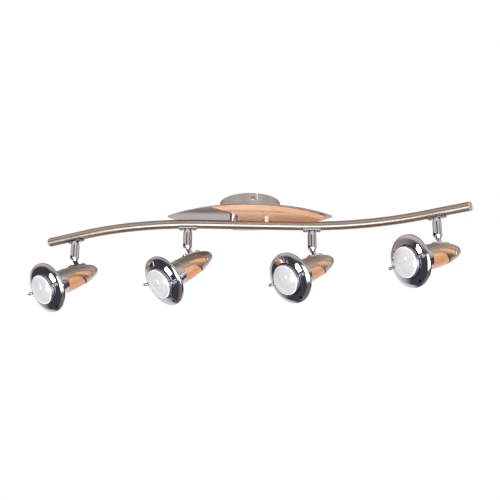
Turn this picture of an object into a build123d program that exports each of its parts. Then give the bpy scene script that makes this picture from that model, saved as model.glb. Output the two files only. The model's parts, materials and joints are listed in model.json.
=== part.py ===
from build123d import *
import os
from math import asin, cos, degrees, radians, sin, sqrt

# Frame: origin on the ceiling plane over the canopy's centre, +Z up, X along the bar, -Y to the room

# Running fits and seats
fit_gap = 0.05
body_gap = 0.3
seat_gap = 0.1

# Ceiling bracket
bracket_width = 22.0
bracket_sheet = 2.0
bracket_bend = 1.2
ear_drop = 15.0
ceiling_slot_spacing = 56.0
ceiling_slot_width = 5.0
ceiling_slot_length = 9.0
cable_entry_diameter = 14.0

# Canopy and its bayonet slots
canopy_diameter = 100.0
canopy_depth = 21.2
canopy_wall = 1.2
canopy_edge_radius = 2.0
bayonet_screw_offset = 4.6
bayonet_travel = 6.4
bayonet_slot_width = 3.4
bayonet_screw_depth = 9.3
bayonet_cut_steps = 3
canopy_screw_diameter = 3.0
canopy_screw_head_diameter = 6.2
canopy_screw_head_height = 2.0
canopy_screw_grip = 4.5
cross_recess_width = 0.8
cross_recess_depth = 0.9
cross_recess_share = 0.55
screw_rim_share = 0.45

# Terminal block
terminal_length = 30.0
terminal_width = 15.0
terminal_height = 12.0
terminal_ways = 3
terminal_well_diameter = 4.0
terminal_wire_diameter = 3.2

# Metal leaf
leaf_half_length = 138.8
leaf_half_width = 57.0
leaf_sheet = 1.5
leaf_tip_radius = 5.0

# Wooden leaf
wood_centre_x = -8.0
wood_half_length = 135.0
wood_half_width = 54.5
wood_thickness = 5.5
wood_straight_edge = 0.7
wood_bevel = 4.8
wood_sweep_x = -75.0
wood_sweep_y = 9.0
wood_sweep_radius = 57.0
leaf_screw_positions = (72.0, 98.0)
leaf_screw_diameter = 3.0
leaf_screw_head_diameter = 6.0
leaf_screw_head_height = 1.6
leaf_screw_bite = 4.0

# Bar: a tube in an S curve, point symmetric about the canopy's axis
tube_diameter = 15.0
tube_wall = 1.2
tube_axis_z = -37.1
tube_heading = 2.9
tube_centre_run = 80.0
tube_bend_radius = 355.0
tube_bend_angle = 33.7
tube_end_run = 76.7
plug_thickness = 2.3
plug_edge_radius = 1.1
plug_spigot_length = 9.0
cable_diameter = 5.0

# Posts between the bar and the leaves
post_spacing = 54.0
post_diameter = 13.5
nipple_diameter = 10.0
nipple_bore = 7.0
nipple_top_stand = 6.0
nipple_tube_entry = 2.2
nut_across_flats = 14.0
nut_height = 4.0

# Saddles under the bar
inner_station = 102.5
saddle_end_inset = 55.5
saddle_length = 29.0
saddle_width = 13.0
saddle_sheet = 1.7
saddle_wrap = 3.0
saddle_edge_radius = 2.5
saddle_screw_spacing = 22.0
saddle_screw_diameter = 2.5
saddle_screw_head_diameter = 5.0
saddle_screw_head_height = 1.9
spigot_diameter = 8.0
spigot_neck = 2.6
spigot_head_diameter = 10.2
spigot_head_height = 2.4
spigot_bore = 4.4

# Stems
stem_diameter = 14.6
stem_top_inset = 1.6
stem_top_taper = 6.0
stem_chamber_length = 7.0
stem_tip_diameter = 9.0
stem_tip_length = 5.3
pivot_z = -77.1
stem_below_pivot = 4.5
fork_slot = 6.0
pin_diameter = 3.0

# Knuckles
tongue_eye_diameter = 8.4
tongue_width = 5.6
plate_length = 34.0
plate_width = 10.0
plate_sheet = 2.0
plate_corner_radius = 3.5
plate_screw_spacing = 24.0
plate_screw_diameter = 3.0
plate_screw_head_diameter = 5.2
plate_screw_head_height = 1.8
plate_screw_bite = 2.6

# Heads: the axis lies below the pivot, stations run back from the lamp's shoulder
axis_drop = 29.2
shoulder_reach = 85.5
body_front = 44.0
body_length = 77.0
body_radius = 19.3
body_skin = 1.0
body_arc = 87.0
body_curve_points = 8
body_seam = 50.0
core_end_share = 0.753
core_bore_gap = 4.0
core_wire_bore = 8.0
window_gap = 2.2
window_slit_depth = 1.4

# Lower window edge, front to rear, as share of the body's length and height over the axis
lower_front_height = 1.8
lower_mid_share = 0.247
lower_mid_height = 0.2
lower_turn_share = 0.481
lower_turn_height = -9.5
lower_rear_share = 0.584
lower_rear_height = -17.5

# Upper window strip
strip_nose_share = 0.169
strip_nose_height = 7.2
strip_top_share = 0.468
strip_top_height = 4.6
strip_rear_share = 0.714
strip_rear_top = -0.6
strip_rear_bottom = -7.6
strip_bottom_share = 0.455
strip_bottom_height = -1.2

# Cups
cup_sheet = 1.2
cup_rear_radius = 20.0
cup_step_station = 36.5
cup_waist_radius = 21.5
cup_flare_station = 27.0
cup_mouth_radius = 27.6
cup_mouth_station = 9.6
cup_flange_radius = 30.0
cup_rear_bore = 21.0

# Front rings
ring_sheet = 1.1
ring_inner_radius = 26.6
ring_face_station = 6.2
ring_radius = 42.0
ring_fall = 4.8
ring_flatness = 4
ring_curve_points = 7
ring_rear_station = 14.0
ring_hole_diameter = 3.2
ring_hole_radius = 35.8
ring_hole_angle = -72.0
lug_width = 5.0
lug_thickness = 2.4
lug_reach = 2.0
lug_radius = 31.5
thumb_station = 2.5
thumb_thread_diameter = 2.5
thumb_knob_diameter = 5.2
thumb_knob_length = 5.4
thumb_knob_start = 34.5
thumb_knob_chamfer = 0.5

# Lamp holders
holder_diameter = 27.0
holder_flange = 2.0
holder_barrel_diameter = 24.0
holder_bottom = 3.0

# Lamps, R50 with an E14 cap
lamp_radius = 25.0
lamp_face_radius = 22.8
lamp_dome = 7.5
lamp_face_station = -1.0
lamp_shoulder_station = 2.5
lamp_waist_station = 26.0
lamp_waist_radius = 18.6
lamp_neck_station = 44.0
lamp_neck_radius = 9.2
lamp_neck_slope = 0.25
lamp_glass = 1.0
lamp_cap_radius = 6.9
lamp_cap_start = 48.0
lamp_cap_end = 73.0
lamp_contact_radius = 3.5
lamp_contact_height = 2.0

# Resting aim of each head: pan to the left of straight ahead, tilt below level, roll of the ring
head_pan = (45.4, 52.9, 49.5, 58.6)
head_tilt = (29.5, 35.2, 28.5, 19.3)
ring_angle = (0.0, 12.0, 0.0, 0.0)

# Derived levels
canopy_radius = canopy_diameter / 2
canopy_inside = canopy_radius - canopy_wall
floor_top_z = -canopy_depth + canopy_wall
leaf_top_z = -canopy_depth
leaf_bottom_z = leaf_top_z - leaf_sheet
wood_bottom_z = leaf_bottom_z - wood_thickness
tube_radius = tube_diameter / 2
tube_reach = tube_centre_run + tube_bend_radius * radians(tube_bend_angle) + tube_end_run
outer_station = tube_reach - saddle_end_inset
tube_bore = tube_radius - tube_wall
saddle_bottom_z = tube_axis_z - tube_radius - saddle_sheet
stem_top_z = saddle_bottom_z - body_gap
holder_end = lamp_cap_end + lamp_contact_height + seat_gap + holder_bottom
stations = (-outer_station, -inner_station, inner_station, outer_station)


def tube_point(station):
    """Return the centre line's plan position and heading at a distance from the middle."""
    side = 1.0 if station >= 0 else -1.0
    run = abs(station)
    start = radians(tube_heading)
    straight = min(run, tube_centre_run)
    x = straight * cos(start)
    y = straight * sin(start)
    turn = min(max(run - tube_centre_run, 0.0) / tube_bend_radius, radians(tube_bend_angle))
    heading = start - turn
    x += tube_bend_radius * (sin(start) - sin(heading))
    y += tube_bend_radius * (cos(heading) - cos(start))
    tail = max(run - tube_centre_run - tube_bend_radius * radians(tube_bend_angle), 0.0)
    x += tail * cos(heading)
    y += tail * sin(heading)
    return side * x, side * y, degrees(heading)


def tube_path(end_run):
    """Return the bar's centre line from left to right at the bar's level."""
    heading = Vector(cos(radians(tube_heading)), sin(radians(tube_heading)), 0)
    middle = Vector(0, 0, tube_axis_z)
    centre = Line(middle - heading * tube_centre_run, middle + heading * tube_centre_run)
    right = JernArc(centre @ 1, centre % 1, tube_bend_radius, -tube_bend_angle)
    left = JernArc(centre @ 0, -(centre % 0), tube_bend_radius, -tube_bend_angle)
    right_end = Line(right @ 1, (right @ 1) + (right % 1) * end_run)
    left_end = Line(left @ 1, (left @ 1) + (left % 1) * end_run)
    return Wire([left_end, left, centre, right, right_end])


def swept_rod(path, radius):
    """Return a round rod along a path."""
    section = Plane(path @ 0, z_dir=path % 0) * Circle(radius)
    return sweep(section, path=path)


def spun(profile):
    """Turn a closed profile of (radius, height) about the Z axis."""
    return revolve(Plane.XZ * profile, axis=Axis.Z)


def spun_sheet(edges, sheet, side):
    """Turn a sheet metal profile, given along one face, about the Z axis."""
    outline = Wire(edges).offset_2d(sheet, kind=Kind.INTERSECTION, side=side, closed=True)
    return spun(make_face(outline.edges()))


def drum(radius, bottom, top):
    """Return a cylinder on the Z axis between two heights."""
    return Pos(0, 0, (bottom + top) / 2) * Cylinder(radius, top - bottom)


def screw(diameter, length, head_diameter, head_height):
    """Return a domed cross-head screw, its head above z = 0 and its thread below."""
    rim = head_height * screw_rim_share
    dome = TangentArc((0, head_height), (head_diameter / 2, rim), tangent=(1, 0))
    sides = Polyline(
        (0, head_height),
        (0, -length),
        (diameter / 2, -length),
        (diameter / 2, 0),
        (head_diameter / 2, 0),
        (head_diameter / 2, rim),
    )
    solid = spun(make_face(dome + sides))
    depth = min(cross_recess_depth, head_height / 2)
    for angle in (0, 90):
        slot = Box(head_diameter * cross_recess_share, cross_recess_width, depth * 2)
        solid -= Pos(0, 0, head_height) * Rot(0, 0, angle) * slot
    return solid


def save(name, shape):
    """Write one node."""
    export_step(shape, "parts/" + name + ".step")


def group(solids):
    """Gather identical pieces in one node."""
    return Compound(children=list(solids))


def lens(half_length, half_width):
    """Return the radius of each edge arc of a leaf and how far its centre lies off the long axis."""
    radius = (half_length**2 + half_width**2) / (2 * half_width)
    return radius, radius - half_width


# Ceiling fixing

def canopy_screw_places():
    """Return where the two side screws enter the canopy, pointing outwards along Z."""
    lean = degrees(asin(bayonet_screw_offset / canopy_radius))
    seat = canopy_radius + seat_gap
    for turn in (-90 + lean, 90 + lean):
        yield Rot(0, 0, turn) * Pos(seat, 0, -bayonet_screw_depth) * Rot(0, 90, 0)


def make_ceiling_bracket():
    """Return the strap with its two bent ears, ceiling slots and cable entry."""
    reach = sqrt((canopy_inside - body_gap) ** 2 - (bracket_width / 2) ** 2)
    strap = Pos(0, 0, -bracket_sheet / 2) * Box(bracket_width, 2 * reach, bracket_sheet)
    for side in (-1, 1):
        ear = Box(bracket_width, bracket_sheet, ear_drop)
        strap += Pos(0, side * (reach - bracket_sheet / 2), -ear_drop / 2) * ear
    bend = strap.edges().filter_by(Axis.X).sort_by(Axis.Z)[-2:]
    strap = fillet(bend, bracket_bend)
    outline = SlotOverall(ceiling_slot_length, ceiling_slot_width, rotation=90)
    slot = extrude(outline, 2 * bracket_sheet, both=True)
    for side in (-1, 1):
        strap -= Pos(0, side * ceiling_slot_spacing / 2, 0) * slot
    strap -= Cylinder(cable_entry_diameter / 2, 4 * bracket_sheet)
    for place in canopy_screw_places():
        hole = drum(canopy_screw_diameter / 2 + fit_gap, -canopy_radius + bracket_width, 0)
        strap -= place * hole
    return strap


def make_canopy():
    """Return the cup with its two bayonet slots and the nipples' holes."""
    cup = drum(canopy_radius, -canopy_depth, 0)
    cup = fillet(cup.edges().sort_by(Axis.Z)[0], canopy_edge_radius)
    cup -= drum(canopy_inside, floor_top_z, canopy_depth)
    lean = degrees(asin(bayonet_screw_offset / canopy_radius))
    travel = degrees(bayonet_travel / canopy_radius)
    depth = bayonet_screw_depth + bayonet_slot_width / 2
    for turn in (-90, 90):
        entry = Pos(canopy_radius, 0, -depth / 2) * Box(6 * canopy_wall, bayonet_slot_width, depth)
        cup -= Rot(0, 0, turn + lean + travel) * entry
        rest = Pos(canopy_radius, 0, -bayonet_screw_depth)
        rest *= Box(6 * canopy_wall, bayonet_slot_width, bayonet_slot_width)
        for step in range(bayonet_cut_steps + 1):
            cup -= Rot(0, 0, turn + lean + travel * step / bayonet_cut_steps) * rest
    for x, y in post_places():
        cup -= Pos(x, y, -canopy_depth) * Cylinder(nipple_diameter / 2 + fit_gap, 6 * canopy_wall)
    return cup


def make_canopy_screws():
    """Return the two side screws."""
    piece = screw(
        canopy_screw_diameter,
        canopy_screw_grip,
        canopy_screw_head_diameter,
        canopy_screw_head_height,
    )
    return group(place * piece for place in canopy_screw_places())


def make_terminal_block():
    """Return the supply terminal on the canopy's floor."""
    block = Box(terminal_length, terminal_width, terminal_height)
    block = Pos(0, 0, floor_top_z + terminal_height / 2) * block
    pitch = terminal_length / terminal_ways
    for way in range(terminal_ways):
        x = (way - (terminal_ways - 1) / 2) * pitch
        for side in (-1, 1):
            well = drum(terminal_well_diameter / 2, floor_top_z + terminal_height / 2, 0)
            block -= Pos(x, side * terminal_width / 4, 0) * well
        bore = Rot(90, 0, 0) * Cylinder(terminal_wire_diameter / 2, 2 * terminal_width)
        block -= Pos(x, 0, floor_top_z + terminal_height / 3) * bore
    return block


# Leaves

def make_leaf_plate():
    """Return the thin metal leaf."""
    radius, aside = lens(leaf_half_length, leaf_half_width)
    outline = Pos(0, aside) * Circle(radius) & Pos(0, -aside) * Circle(radius)
    outline = fillet(outline.vertices(), leaf_tip_radius)
    plate = Pos(0, 0, leaf_bottom_z) * extrude(outline, leaf_sheet)
    for x, y in post_places():
        plate -= Pos(x, y, leaf_bottom_z) * Cylinder(nipple_diameter / 2 + fit_gap, 4 * leaf_sheet)
    for x in leaf_screw_positions:
        plate -= Pos(x, 0, leaf_bottom_z) * Cylinder(leaf_screw_diameter / 2 + fit_gap, 4 * leaf_sheet)
    return plate


def bevelled_disc(radius, slope):
    """Return a disc of the wood's thickness whose lower edge slopes in or out."""
    lower = radius + slope * wood_bevel
    profile = Polyline(
        (0, 0),
        (radius, 0),
        (radius, -wood_straight_edge),
        (lower, -wood_thickness),
        (0, -wood_thickness),
        close=True,
    )
    return spun(make_face(profile))


def make_wood_leaf():
    """Return the bevelled leaf with its swept left end."""
    radius, aside = lens(wood_half_length, wood_half_width)
    edge = bevelled_disc(radius, -1)
    leaf = Pos(wood_centre_x, aside, 0) * edge & Pos(wood_centre_x, -aside, 0) * edge
    leaf -= Pos(wood_sweep_x, wood_sweep_y, 0) * bevelled_disc(wood_sweep_radius, 1)
    tail = Box(2 * wood_half_length, 4 * wood_half_width, 4 * wood_thickness)
    leaf -= Pos(wood_sweep_x - wood_half_length, 0, 0) * tail
    leaf = Pos(0, 0, leaf_bottom_z) * leaf
    x, y = post_places()[1]
    leaf -= Pos(x, y, leaf_bottom_z) * Cylinder(nipple_diameter / 2 + fit_gap, 4 * wood_thickness)
    for x in leaf_screw_positions:
        pilot = drum(leaf_screw_diameter / 2 + fit_gap, -leaf_screw_bite - fit_gap, wood_thickness)
        leaf -= Pos(x, 0, leaf_bottom_z) * pilot
    return leaf


def make_leaf_screws():
    """Return the screws that hold the wood to the metal leaf from above."""
    length = leaf_sheet + leaf_screw_bite
    piece = screw(leaf_screw_diameter, length, leaf_screw_head_diameter, leaf_screw_head_height)
    return group(Pos(x, 0, leaf_top_z) * piece for x in leaf_screw_positions)


# Posts

def post_places():
    """Return the plan positions of the left and the right post, over the bar's centre line."""
    run = post_spacing / 2 / cos(radians(tube_heading))
    return [tube_point(side * run)[:2] for side in (-1, 1)]


def make_post(place, top_z, envelope):
    """Return a post from a leaf down to the bar, hollow for its nipple."""
    x, y = place
    foot = tube_axis_z + sqrt(max(tube_radius**2 - (post_diameter / 2) ** 2, 0.0))
    post = Pos(x, y, 0) * drum(post_diameter / 2, foot, top_z)
    post -= Pos(x, y, 0) * drum(nipple_diameter / 2 + fit_gap, foot - tube_radius, top_z + tube_radius)
    return post - envelope


def nipple_span():
    """Return the lower and upper end of the nipples."""
    return tube_axis_z + tube_bore - nipple_tube_entry, floor_top_z + nipple_top_stand


def make_post_nipples():
    """Return the two hollow threaded nipples."""
    low, high = nipple_span()
    piece = drum(nipple_diameter / 2, low, high) - drum(nipple_bore / 2, 2 * low, 0)
    return group(Pos(x, y, 0) * piece for x, y in post_places())


def make_post_nuts():
    """Return the nuts on the canopy's floor."""
    outline = RegularPolygon(nut_across_flats / 2, 6, major_radius=False)
    nut = extrude(outline, nut_height)
    nut -= drum(nipple_diameter / 2 + fit_gap, -nut_height, 2 * nut_height)
    return group(Pos(x, y, floor_top_z) * nut for x, y in post_places())


# Bar

def head_places():
    """Return each head's place on the bar's centre line, with X along the bar."""
    for station in stations:
        x, y, heading = tube_point(station)
        yield Pos(x, y, tube_axis_z) * Rot(0, 0, heading)


def saddle_screw_places():
    """Return the seats of the screws under the saddles, thread upwards."""
    for place in head_places():
        for side in (-1, 1):
            seat = Pos(side * saddle_screw_spacing / 2, 0, saddle_bottom_z - tube_axis_z)
            yield place * seat * Rot(180, 0, 0)


def make_tube():
    """Return the bar with its holes for the nipples, the leads and the saddle screws."""
    path = tube_path(tube_end_run)
    tube = swept_rod(path, tube_radius) - swept_rod(path, tube_bore)
    for x, y in post_places():
        tube -= Pos(x, y, 0) * drum(nipple_diameter / 2 + fit_gap, tube_axis_z, 0)
    for place in head_places():
        tube -= place * drum(spigot_bore / 2, -tube_diameter, 0)
    for place in saddle_screw_places():
        tube -= place * drum(saddle_screw_diameter / 2 + fit_gap, -saddle_sheet - tube_radius, 0)
    return tube


def make_end_plugs():
    """Return the plugs in the bar's two ends."""
    head = drum(tube_radius, 0, plug_thickness)
    head = fillet(head.edges().sort_by(Axis.Z)[-1], plug_edge_radius)
    plug = head + drum(tube_bore - fit_gap, -plug_spigot_length, 0)
    pieces = []
    for side, turn in ((1, 90), (-1, -90)):
        x, y, heading = tube_point(side * tube_reach)
        pieces.append(Pos(x, y, tube_axis_z) * Rot(0, 0, heading) * Rot(0, turn, 0) * plug)
    return group(pieces)


def make_tube_cable():
    """Return the cable on the bar's floor, from the first head to the last."""
    bends = tube_centre_run + tube_bend_radius * radians(tube_bend_angle)
    cable = swept_rod(tube_path(outer_station - bends), cable_diameter / 2)
    return Pos(0, 0, cable_diameter / 2 + seat_gap - tube_bore) * cable


def make_saddles(envelope):
    """Return the four saddles, each with the hollow spigot that its stem turns on."""
    pieces = []
    drop = saddle_bottom_z - tube_axis_z
    neck = drop - body_gap - spigot_neck
    for place in head_places():
        top = -tube_radius + saddle_wrap
        block = Pos(0, 0, (top + drop) / 2) * Box(saddle_length, saddle_width, top - drop)
        lower = block.edges().filter_by(Axis.X).sort_by(Axis.Z)[:2]
        block = fillet(lower, saddle_edge_radius)
        saddle = place * block - envelope
        spigot = drum(spigot_diameter / 2, neck, drop)
        spigot += drum(spigot_head_diameter / 2, neck - spigot_head_height, neck)
        saddle += place * spigot
        saddle -= place * drum(spigot_bore / 2, neck - 2 * spigot_head_height, 0)
        for side in (-1, 1):
            hole = drum(saddle_screw_diameter / 2 + fit_gap, drop - saddle_sheet, 0)
            saddle -= place * Pos(side * saddle_screw_spacing / 2, 0, 0) * hole
        pieces.append(saddle)
    return group(pieces)


def make_saddle_screws():
    """Return the eight screws that hold the saddles."""
    length = saddle_sheet + tube_wall
    piece = screw(saddle_screw_diameter, length, saddle_screw_head_diameter, saddle_screw_head_height)
    return group(place * piece for place in saddle_screw_places())


# Stems, in the frame of the pivot: X along the pin, -Y ahead, Z up

def make_stem():
    """Return a barrel with its swivel chamber, lead hole and forked tip."""
    top = stem_top_z - pivot_z
    radius = stem_diameter / 2
    profile = Polyline(
        (0, -stem_below_pivot),
        (stem_tip_diameter / 2, -stem_below_pivot),
        (radius, stem_tip_length - stem_below_pivot),
        (radius, top - stem_top_taper),
        (radius - stem_top_inset, top),
        (0, top),
        close=True,
    )
    stem = spun(make_face(profile))
    ceiling = top - spigot_neck + body_gap
    stem -= drum(spigot_diameter / 2 + fit_gap, ceiling, top + body_gap)
    stem -= drum(spigot_head_diameter / 2 + fit_gap, ceiling - stem_chamber_length, ceiling)
    stem -= drum(spigot_bore / 2, 0, ceiling)
    slot_top = tongue_eye_diameter / 2 + body_gap
    slot_height = slot_top + 2 * stem_below_pivot
    slot = Box(fork_slot, 2 * stem_diameter, slot_height)
    stem -= Pos(0, 0, slot_top - slot_height / 2) * slot
    stem -= Rot(0, 90, 0) * Cylinder(pin_diameter / 2, 2 * stem_diameter)
    return stem


def make_pivot_pin():
    """Return the hinge pin across the fork."""
    return Rot(0, 90, 0) * Cylinder(pin_diameter / 2, stem_diameter - 2 * fit_gap)


# Heads, in the frame of the pivot

def on_axis():
    """Return the place whose Z axis runs back along the head's axis from the lamp's shoulder."""
    return Pos(0, -shoulder_reach, -axis_drop) * Rot(-90, 0, 0)


def bullet(shrink):
    """Return the half ellipsoid of the head's body, shrunk by a skin, about the Z axis."""
    long_axis = body_length - shrink
    short_axis = body_radius - shrink
    turns = [radians(body_arc * step / body_curve_points) for step in range(body_curve_points + 1)]
    curve = Spline([(short_axis * cos(turn), body_front + long_axis * sin(turn)) for turn in turns])
    tip = (curve @ 1).Y
    sides = Polyline(curve @ 1, (0, tip), (0, body_front), curve @ 0)
    return Rot(0, 0, -body_seam) * spun(make_face(curve + sides))


def body_radius_at(station):
    """Return the body's outer radius at a station."""
    share = (station - body_front) / body_length
    return body_radius * sqrt(1 - share**2)


def side_point(share, height):
    """Return a point of the head's side view, ahead to the left, at a share of the body's length."""
    return body_front + share * body_length - shoulder_reach, height - axis_drop


def window_prism(face):
    """Cut through the head from side to side with a side-view face."""
    return extrude(Plane.YZ * face, 3 * body_radius, both=True)


def lower_window():
    """Return the side view of the lower window, open below."""
    sweep_edge = Spline(
        side_point(0, lower_front_height),
        side_point(lower_mid_share, lower_mid_height),
        side_point(lower_turn_share, lower_turn_height),
        side_point(lower_rear_share, lower_rear_height),
    )
    below = -2 * body_radius
    sides = Polyline(
        sweep_edge @ 1,
        side_point(lower_rear_share, below),
        side_point(-body_skin / body_length, below),
        side_point(-body_skin / body_length, lower_front_height),
        sweep_edge @ 0,
    )
    return make_face(sweep_edge + sides)


def upper_window():
    """Return the side view of the upper window strip."""
    top = Spline(
        side_point(strip_nose_share, strip_nose_height),
        side_point(strip_top_share, strip_top_height),
        side_point(strip_rear_share, strip_rear_top),
    )
    rear = Line(top @ 1, side_point(strip_rear_share, strip_rear_bottom))
    bottom = Spline(
        rear @ 1,
        side_point(strip_bottom_share, strip_bottom_height),
        top @ 0,
    )
    return make_face(top + rear + bottom)


def plate_tilt():
    """Return how much the body's top falls away under the pivot, in degrees."""
    ahead = body_radius_at(shoulder_reach - plate_screw_spacing / 2)
    behind = body_radius_at(shoulder_reach + plate_screw_spacing / 2)
    return degrees(asin((behind - ahead) / plate_screw_spacing))


def plate_place():
    """Return the middle of the base plate's lower face, over the body's top."""
    return Pos(0, 0, body_radius_at(shoulder_reach) - axis_drop) * Rot(plate_tilt(), 0, 0)


def plate_screw_places():
    """Return the seats of the two plate screws."""
    for side in (-1, 1):
        yield plate_place() * Pos(0, side * plate_screw_spacing / 2, plate_sheet)


def drill_plate_screws(piece):
    """Cut the plate screws' holes."""
    for place in plate_screw_places():
        length = plate_sheet + body_skin + plate_screw_bite
        piece -= place * drum(plate_screw_diameter / 2 + fit_gap, -length - fit_gap, plate_sheet)
    return piece


def make_knuckle():
    """Return the tongue with its eye and the base plate on the body."""
    thickness = fork_slot - 2 * body_gap
    eye = Rot(0, 90, 0) * Cylinder(tongue_eye_diameter / 2, thickness)
    foot = axis_drop - body_radius_at(shoulder_reach) + plate_sheet
    neck = Pos(0, 0, -foot / 2) * Box(thickness, tongue_width, foot)
    plate = Box(plate_width, plate_length, 2 * plate_sheet)
    plate = fillet(plate.edges().filter_by(Axis.Z), plate_corner_radius)
    knuckle = eye + neck + plate_place() * plate
    knuckle -= on_axis() * bullet(-fit_gap)
    knuckle -= Rot(0, 90, 0) * Cylinder(pin_diameter / 2 + fit_gap, 2 * stem_diameter)
    return drill_plate_screws(knuckle)


def make_plate_screws():
    """Return the two screws of the base plate."""
    length = plate_sheet + body_skin + plate_screw_bite
    piece = screw(plate_screw_diameter, length, plate_screw_head_diameter, plate_screw_head_height)
    return group(place * piece for place in plate_screw_places())


def make_shell():
    """Return the metal skin with a lower window and a strip on each side."""
    shell = on_axis() * (bullet(0) - bullet(body_skin))
    shell -= window_prism(lower_window())
    shell -= window_prism(upper_window())
    return drill_plate_screws(shell)


def make_wood_core():
    """Return the wooden core, bored for the lamp holder, short of each window's rear end."""
    core_end = body_front + core_end_share * body_length
    core = bullet(body_skin + seat_gap) & drum(2 * body_radius, 0, core_end)
    core -= drum(holder_diameter / 2 + body_gap, 0, body_front + holder_flange + body_gap)
    core -= drum(holder_barrel_diameter / 2 + body_gap, 0, holder_end + core_bore_gap)
    core -= drum(core_wire_bore / 2, 0, 2 * core_end)
    core = on_axis() * core
    for face in (lower_window(), upper_window()):
        prism = window_prism(face)
        kept = Pos(0, -window_gap, 0) * prism
        shallow = on_axis() * bullet(body_skin + seat_gap + window_slit_depth)
        core -= prism - kept - shallow
    return drill_plate_screws(core)


def make_cup():
    """Return the spun collar from the ring's seat back to the body."""
    outside = Polyline(
        (cup_flange_radius, cup_mouth_station + cup_sheet),
        (cup_mouth_radius, cup_mouth_station + cup_sheet),
        (cup_waist_radius, cup_flare_station),
        (cup_waist_radius, cup_step_station),
        (cup_rear_radius, cup_step_station),
        (cup_rear_radius, body_front),
        (cup_rear_bore / 2, body_front),
    )
    return on_axis() * spun_sheet(outside.edges(), cup_sheet, Side.LEFT)


def thumb_places():
    """Return the two thumb screws' axes on the ring, Z outwards."""
    for turn in (0, 180):
        yield Rot(0, 0, turn) * Pos(0, 0, thumb_station) * Rot(0, 90, 0)


def ring_curve(inset, back):
    """Return the ring's curve, flat by the lamp, falling to the rim, inset at both ends and moved back."""
    span = ring_radius - ring_inner_radius
    reach = span - 2 * inset
    shares = [(inset + reach * step / ring_curve_points) / span for step in range(ring_curve_points + 1)]
    return Spline(
        [
            (ring_inner_radius + span * share, ring_face_station + back + ring_fall * share**ring_flatness)
            for share in shares
        ]
    )


def make_ring():
    """Return the spun front ring with its lugs and its small hole."""
    front = ring_curve(0, 0)
    back = ring_curve(ring_sheet, ring_sheet)
    neck = Polyline(
        front @ 0,
        (ring_inner_radius, cup_mouth_station),
        (ring_inner_radius + ring_sheet, cup_mouth_station),
        back @ 0,
    )
    band = Polyline(
        front @ 1,
        (ring_radius, ring_rear_station),
        (ring_radius - ring_sheet, ring_rear_station),
        back @ 1,
    )
    ring = spun(make_face(front + back + neck + band))
    root = ring_face_station + ring_sheet - thumb_station
    lug = Box(lug_reach + root, lug_width, lug_thickness)
    lug = Pos((lug_reach - root) / 2, 0, lug_radius) * lug
    for place in thumb_places():
        ring += place * lug
        ring -= place * drum(thumb_thread_diameter / 2 + fit_gap, lamp_radius, ring_radius)
    hole = Rot(0, 0, -ring_hole_angle) * Pos(ring_hole_radius, 0, 0)
    ring -= hole * Cylinder(ring_hole_diameter / 2, 2 * ring_rear_station)
    return on_axis() * ring


def make_thumb_screws():
    """Return the two thumb screws, their tips just off the lamp."""
    knob = drum(thumb_knob_diameter / 2, thumb_knob_start, thumb_knob_start + thumb_knob_length)
    knob = chamfer(knob.edges(), thumb_knob_chamfer)
    piece = knob + drum(thumb_thread_diameter / 2, lamp_radius + body_gap, thumb_knob_start)
    return on_axis() * group(place * piece for place in thumb_places())


def make_lamp_holder():
    """Return the lamp holder behind the cup's rear wall."""
    holder = drum(holder_diameter / 2, body_front, body_front + holder_flange)
    holder += drum(holder_barrel_diameter / 2, body_front, holder_end)
    holder -= drum(lamp_neck_radius + body_gap, 0, lamp_cap_start)
    holder -= drum(lamp_cap_radius + body_gap, 0, holder_end - holder_bottom)
    return on_axis() * holder


def lamp_profile(wall):
    """Return the lamp's curves from the dome's top to the neck, moved in by a wall."""
    top = (0, wall - lamp_dome)
    face = (lamp_face_radius - wall, lamp_face_station + wall)
    shoulder = (lamp_radius - wall, lamp_shoulder_station)
    waist = (lamp_waist_radius - wall, lamp_waist_station)
    neck = (lamp_neck_radius - wall, lamp_neck_station)
    dome = TangentArc(top, face, tangent=(1, 0))
    edge = TangentArc(shoulder, face, tangent=(0, -1))
    flank = Spline(shoulder, waist, neck, tangents=((0, 1), (-lamp_neck_slope, 1)))
    return dome + edge + flank


def make_bulb():
    """Return the hollow reflector lamp with its domed face and screw cap."""
    cap = Polyline(
        (lamp_neck_radius, lamp_neck_station),
        (lamp_cap_radius, lamp_cap_start),
        (lamp_cap_radius, lamp_cap_end),
        (lamp_contact_radius, lamp_cap_end + lamp_contact_height),
        (0, lamp_cap_end + lamp_contact_height),
        (0, -lamp_dome),
    )
    stem_press = Polyline(
        (lamp_neck_radius - lamp_glass, lamp_neck_station),
        (0, lamp_neck_station),
        (0, lamp_glass - lamp_dome),
    )
    glass = spun(make_face(lamp_profile(0) + cap))
    hollow = spun(make_face(lamp_profile(lamp_glass) + stem_press))
    return on_axis() * (glass - hollow)


def roll_about_axis(shape, angle):
    """Turn a piece about the head's axis."""
    return on_axis() * Rot(0, 0, angle) * on_axis().inverse() * shape


def write_fixture():
    """Write the pieces that stay still."""
    envelope = swept_rod(tube_path(tube_end_run), tube_radius + fit_gap)
    left, right = post_places()
    save("ceiling_bracket", make_ceiling_bracket())
    save("canopy", make_canopy())
    save("canopy_screws", make_canopy_screws())
    save("terminal_block", make_terminal_block())
    save("leaf_plate", make_leaf_plate())
    save("wood_leaf", make_wood_leaf())
    save("leaf_screws", make_leaf_screws())
    save("post_left", make_post(left, leaf_bottom_z, envelope))
    save("post_right", make_post(right, wood_bottom_z, envelope))
    save("post_nipples", make_post_nipples())
    save("post_nuts", make_post_nuts())
    save("tube", make_tube())
    save("end_plugs", make_end_plugs())
    save("tube_cable", make_tube_cable())
    save("saddles", make_saddles(envelope))
    save("saddle_screws", make_saddle_screws())


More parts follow.
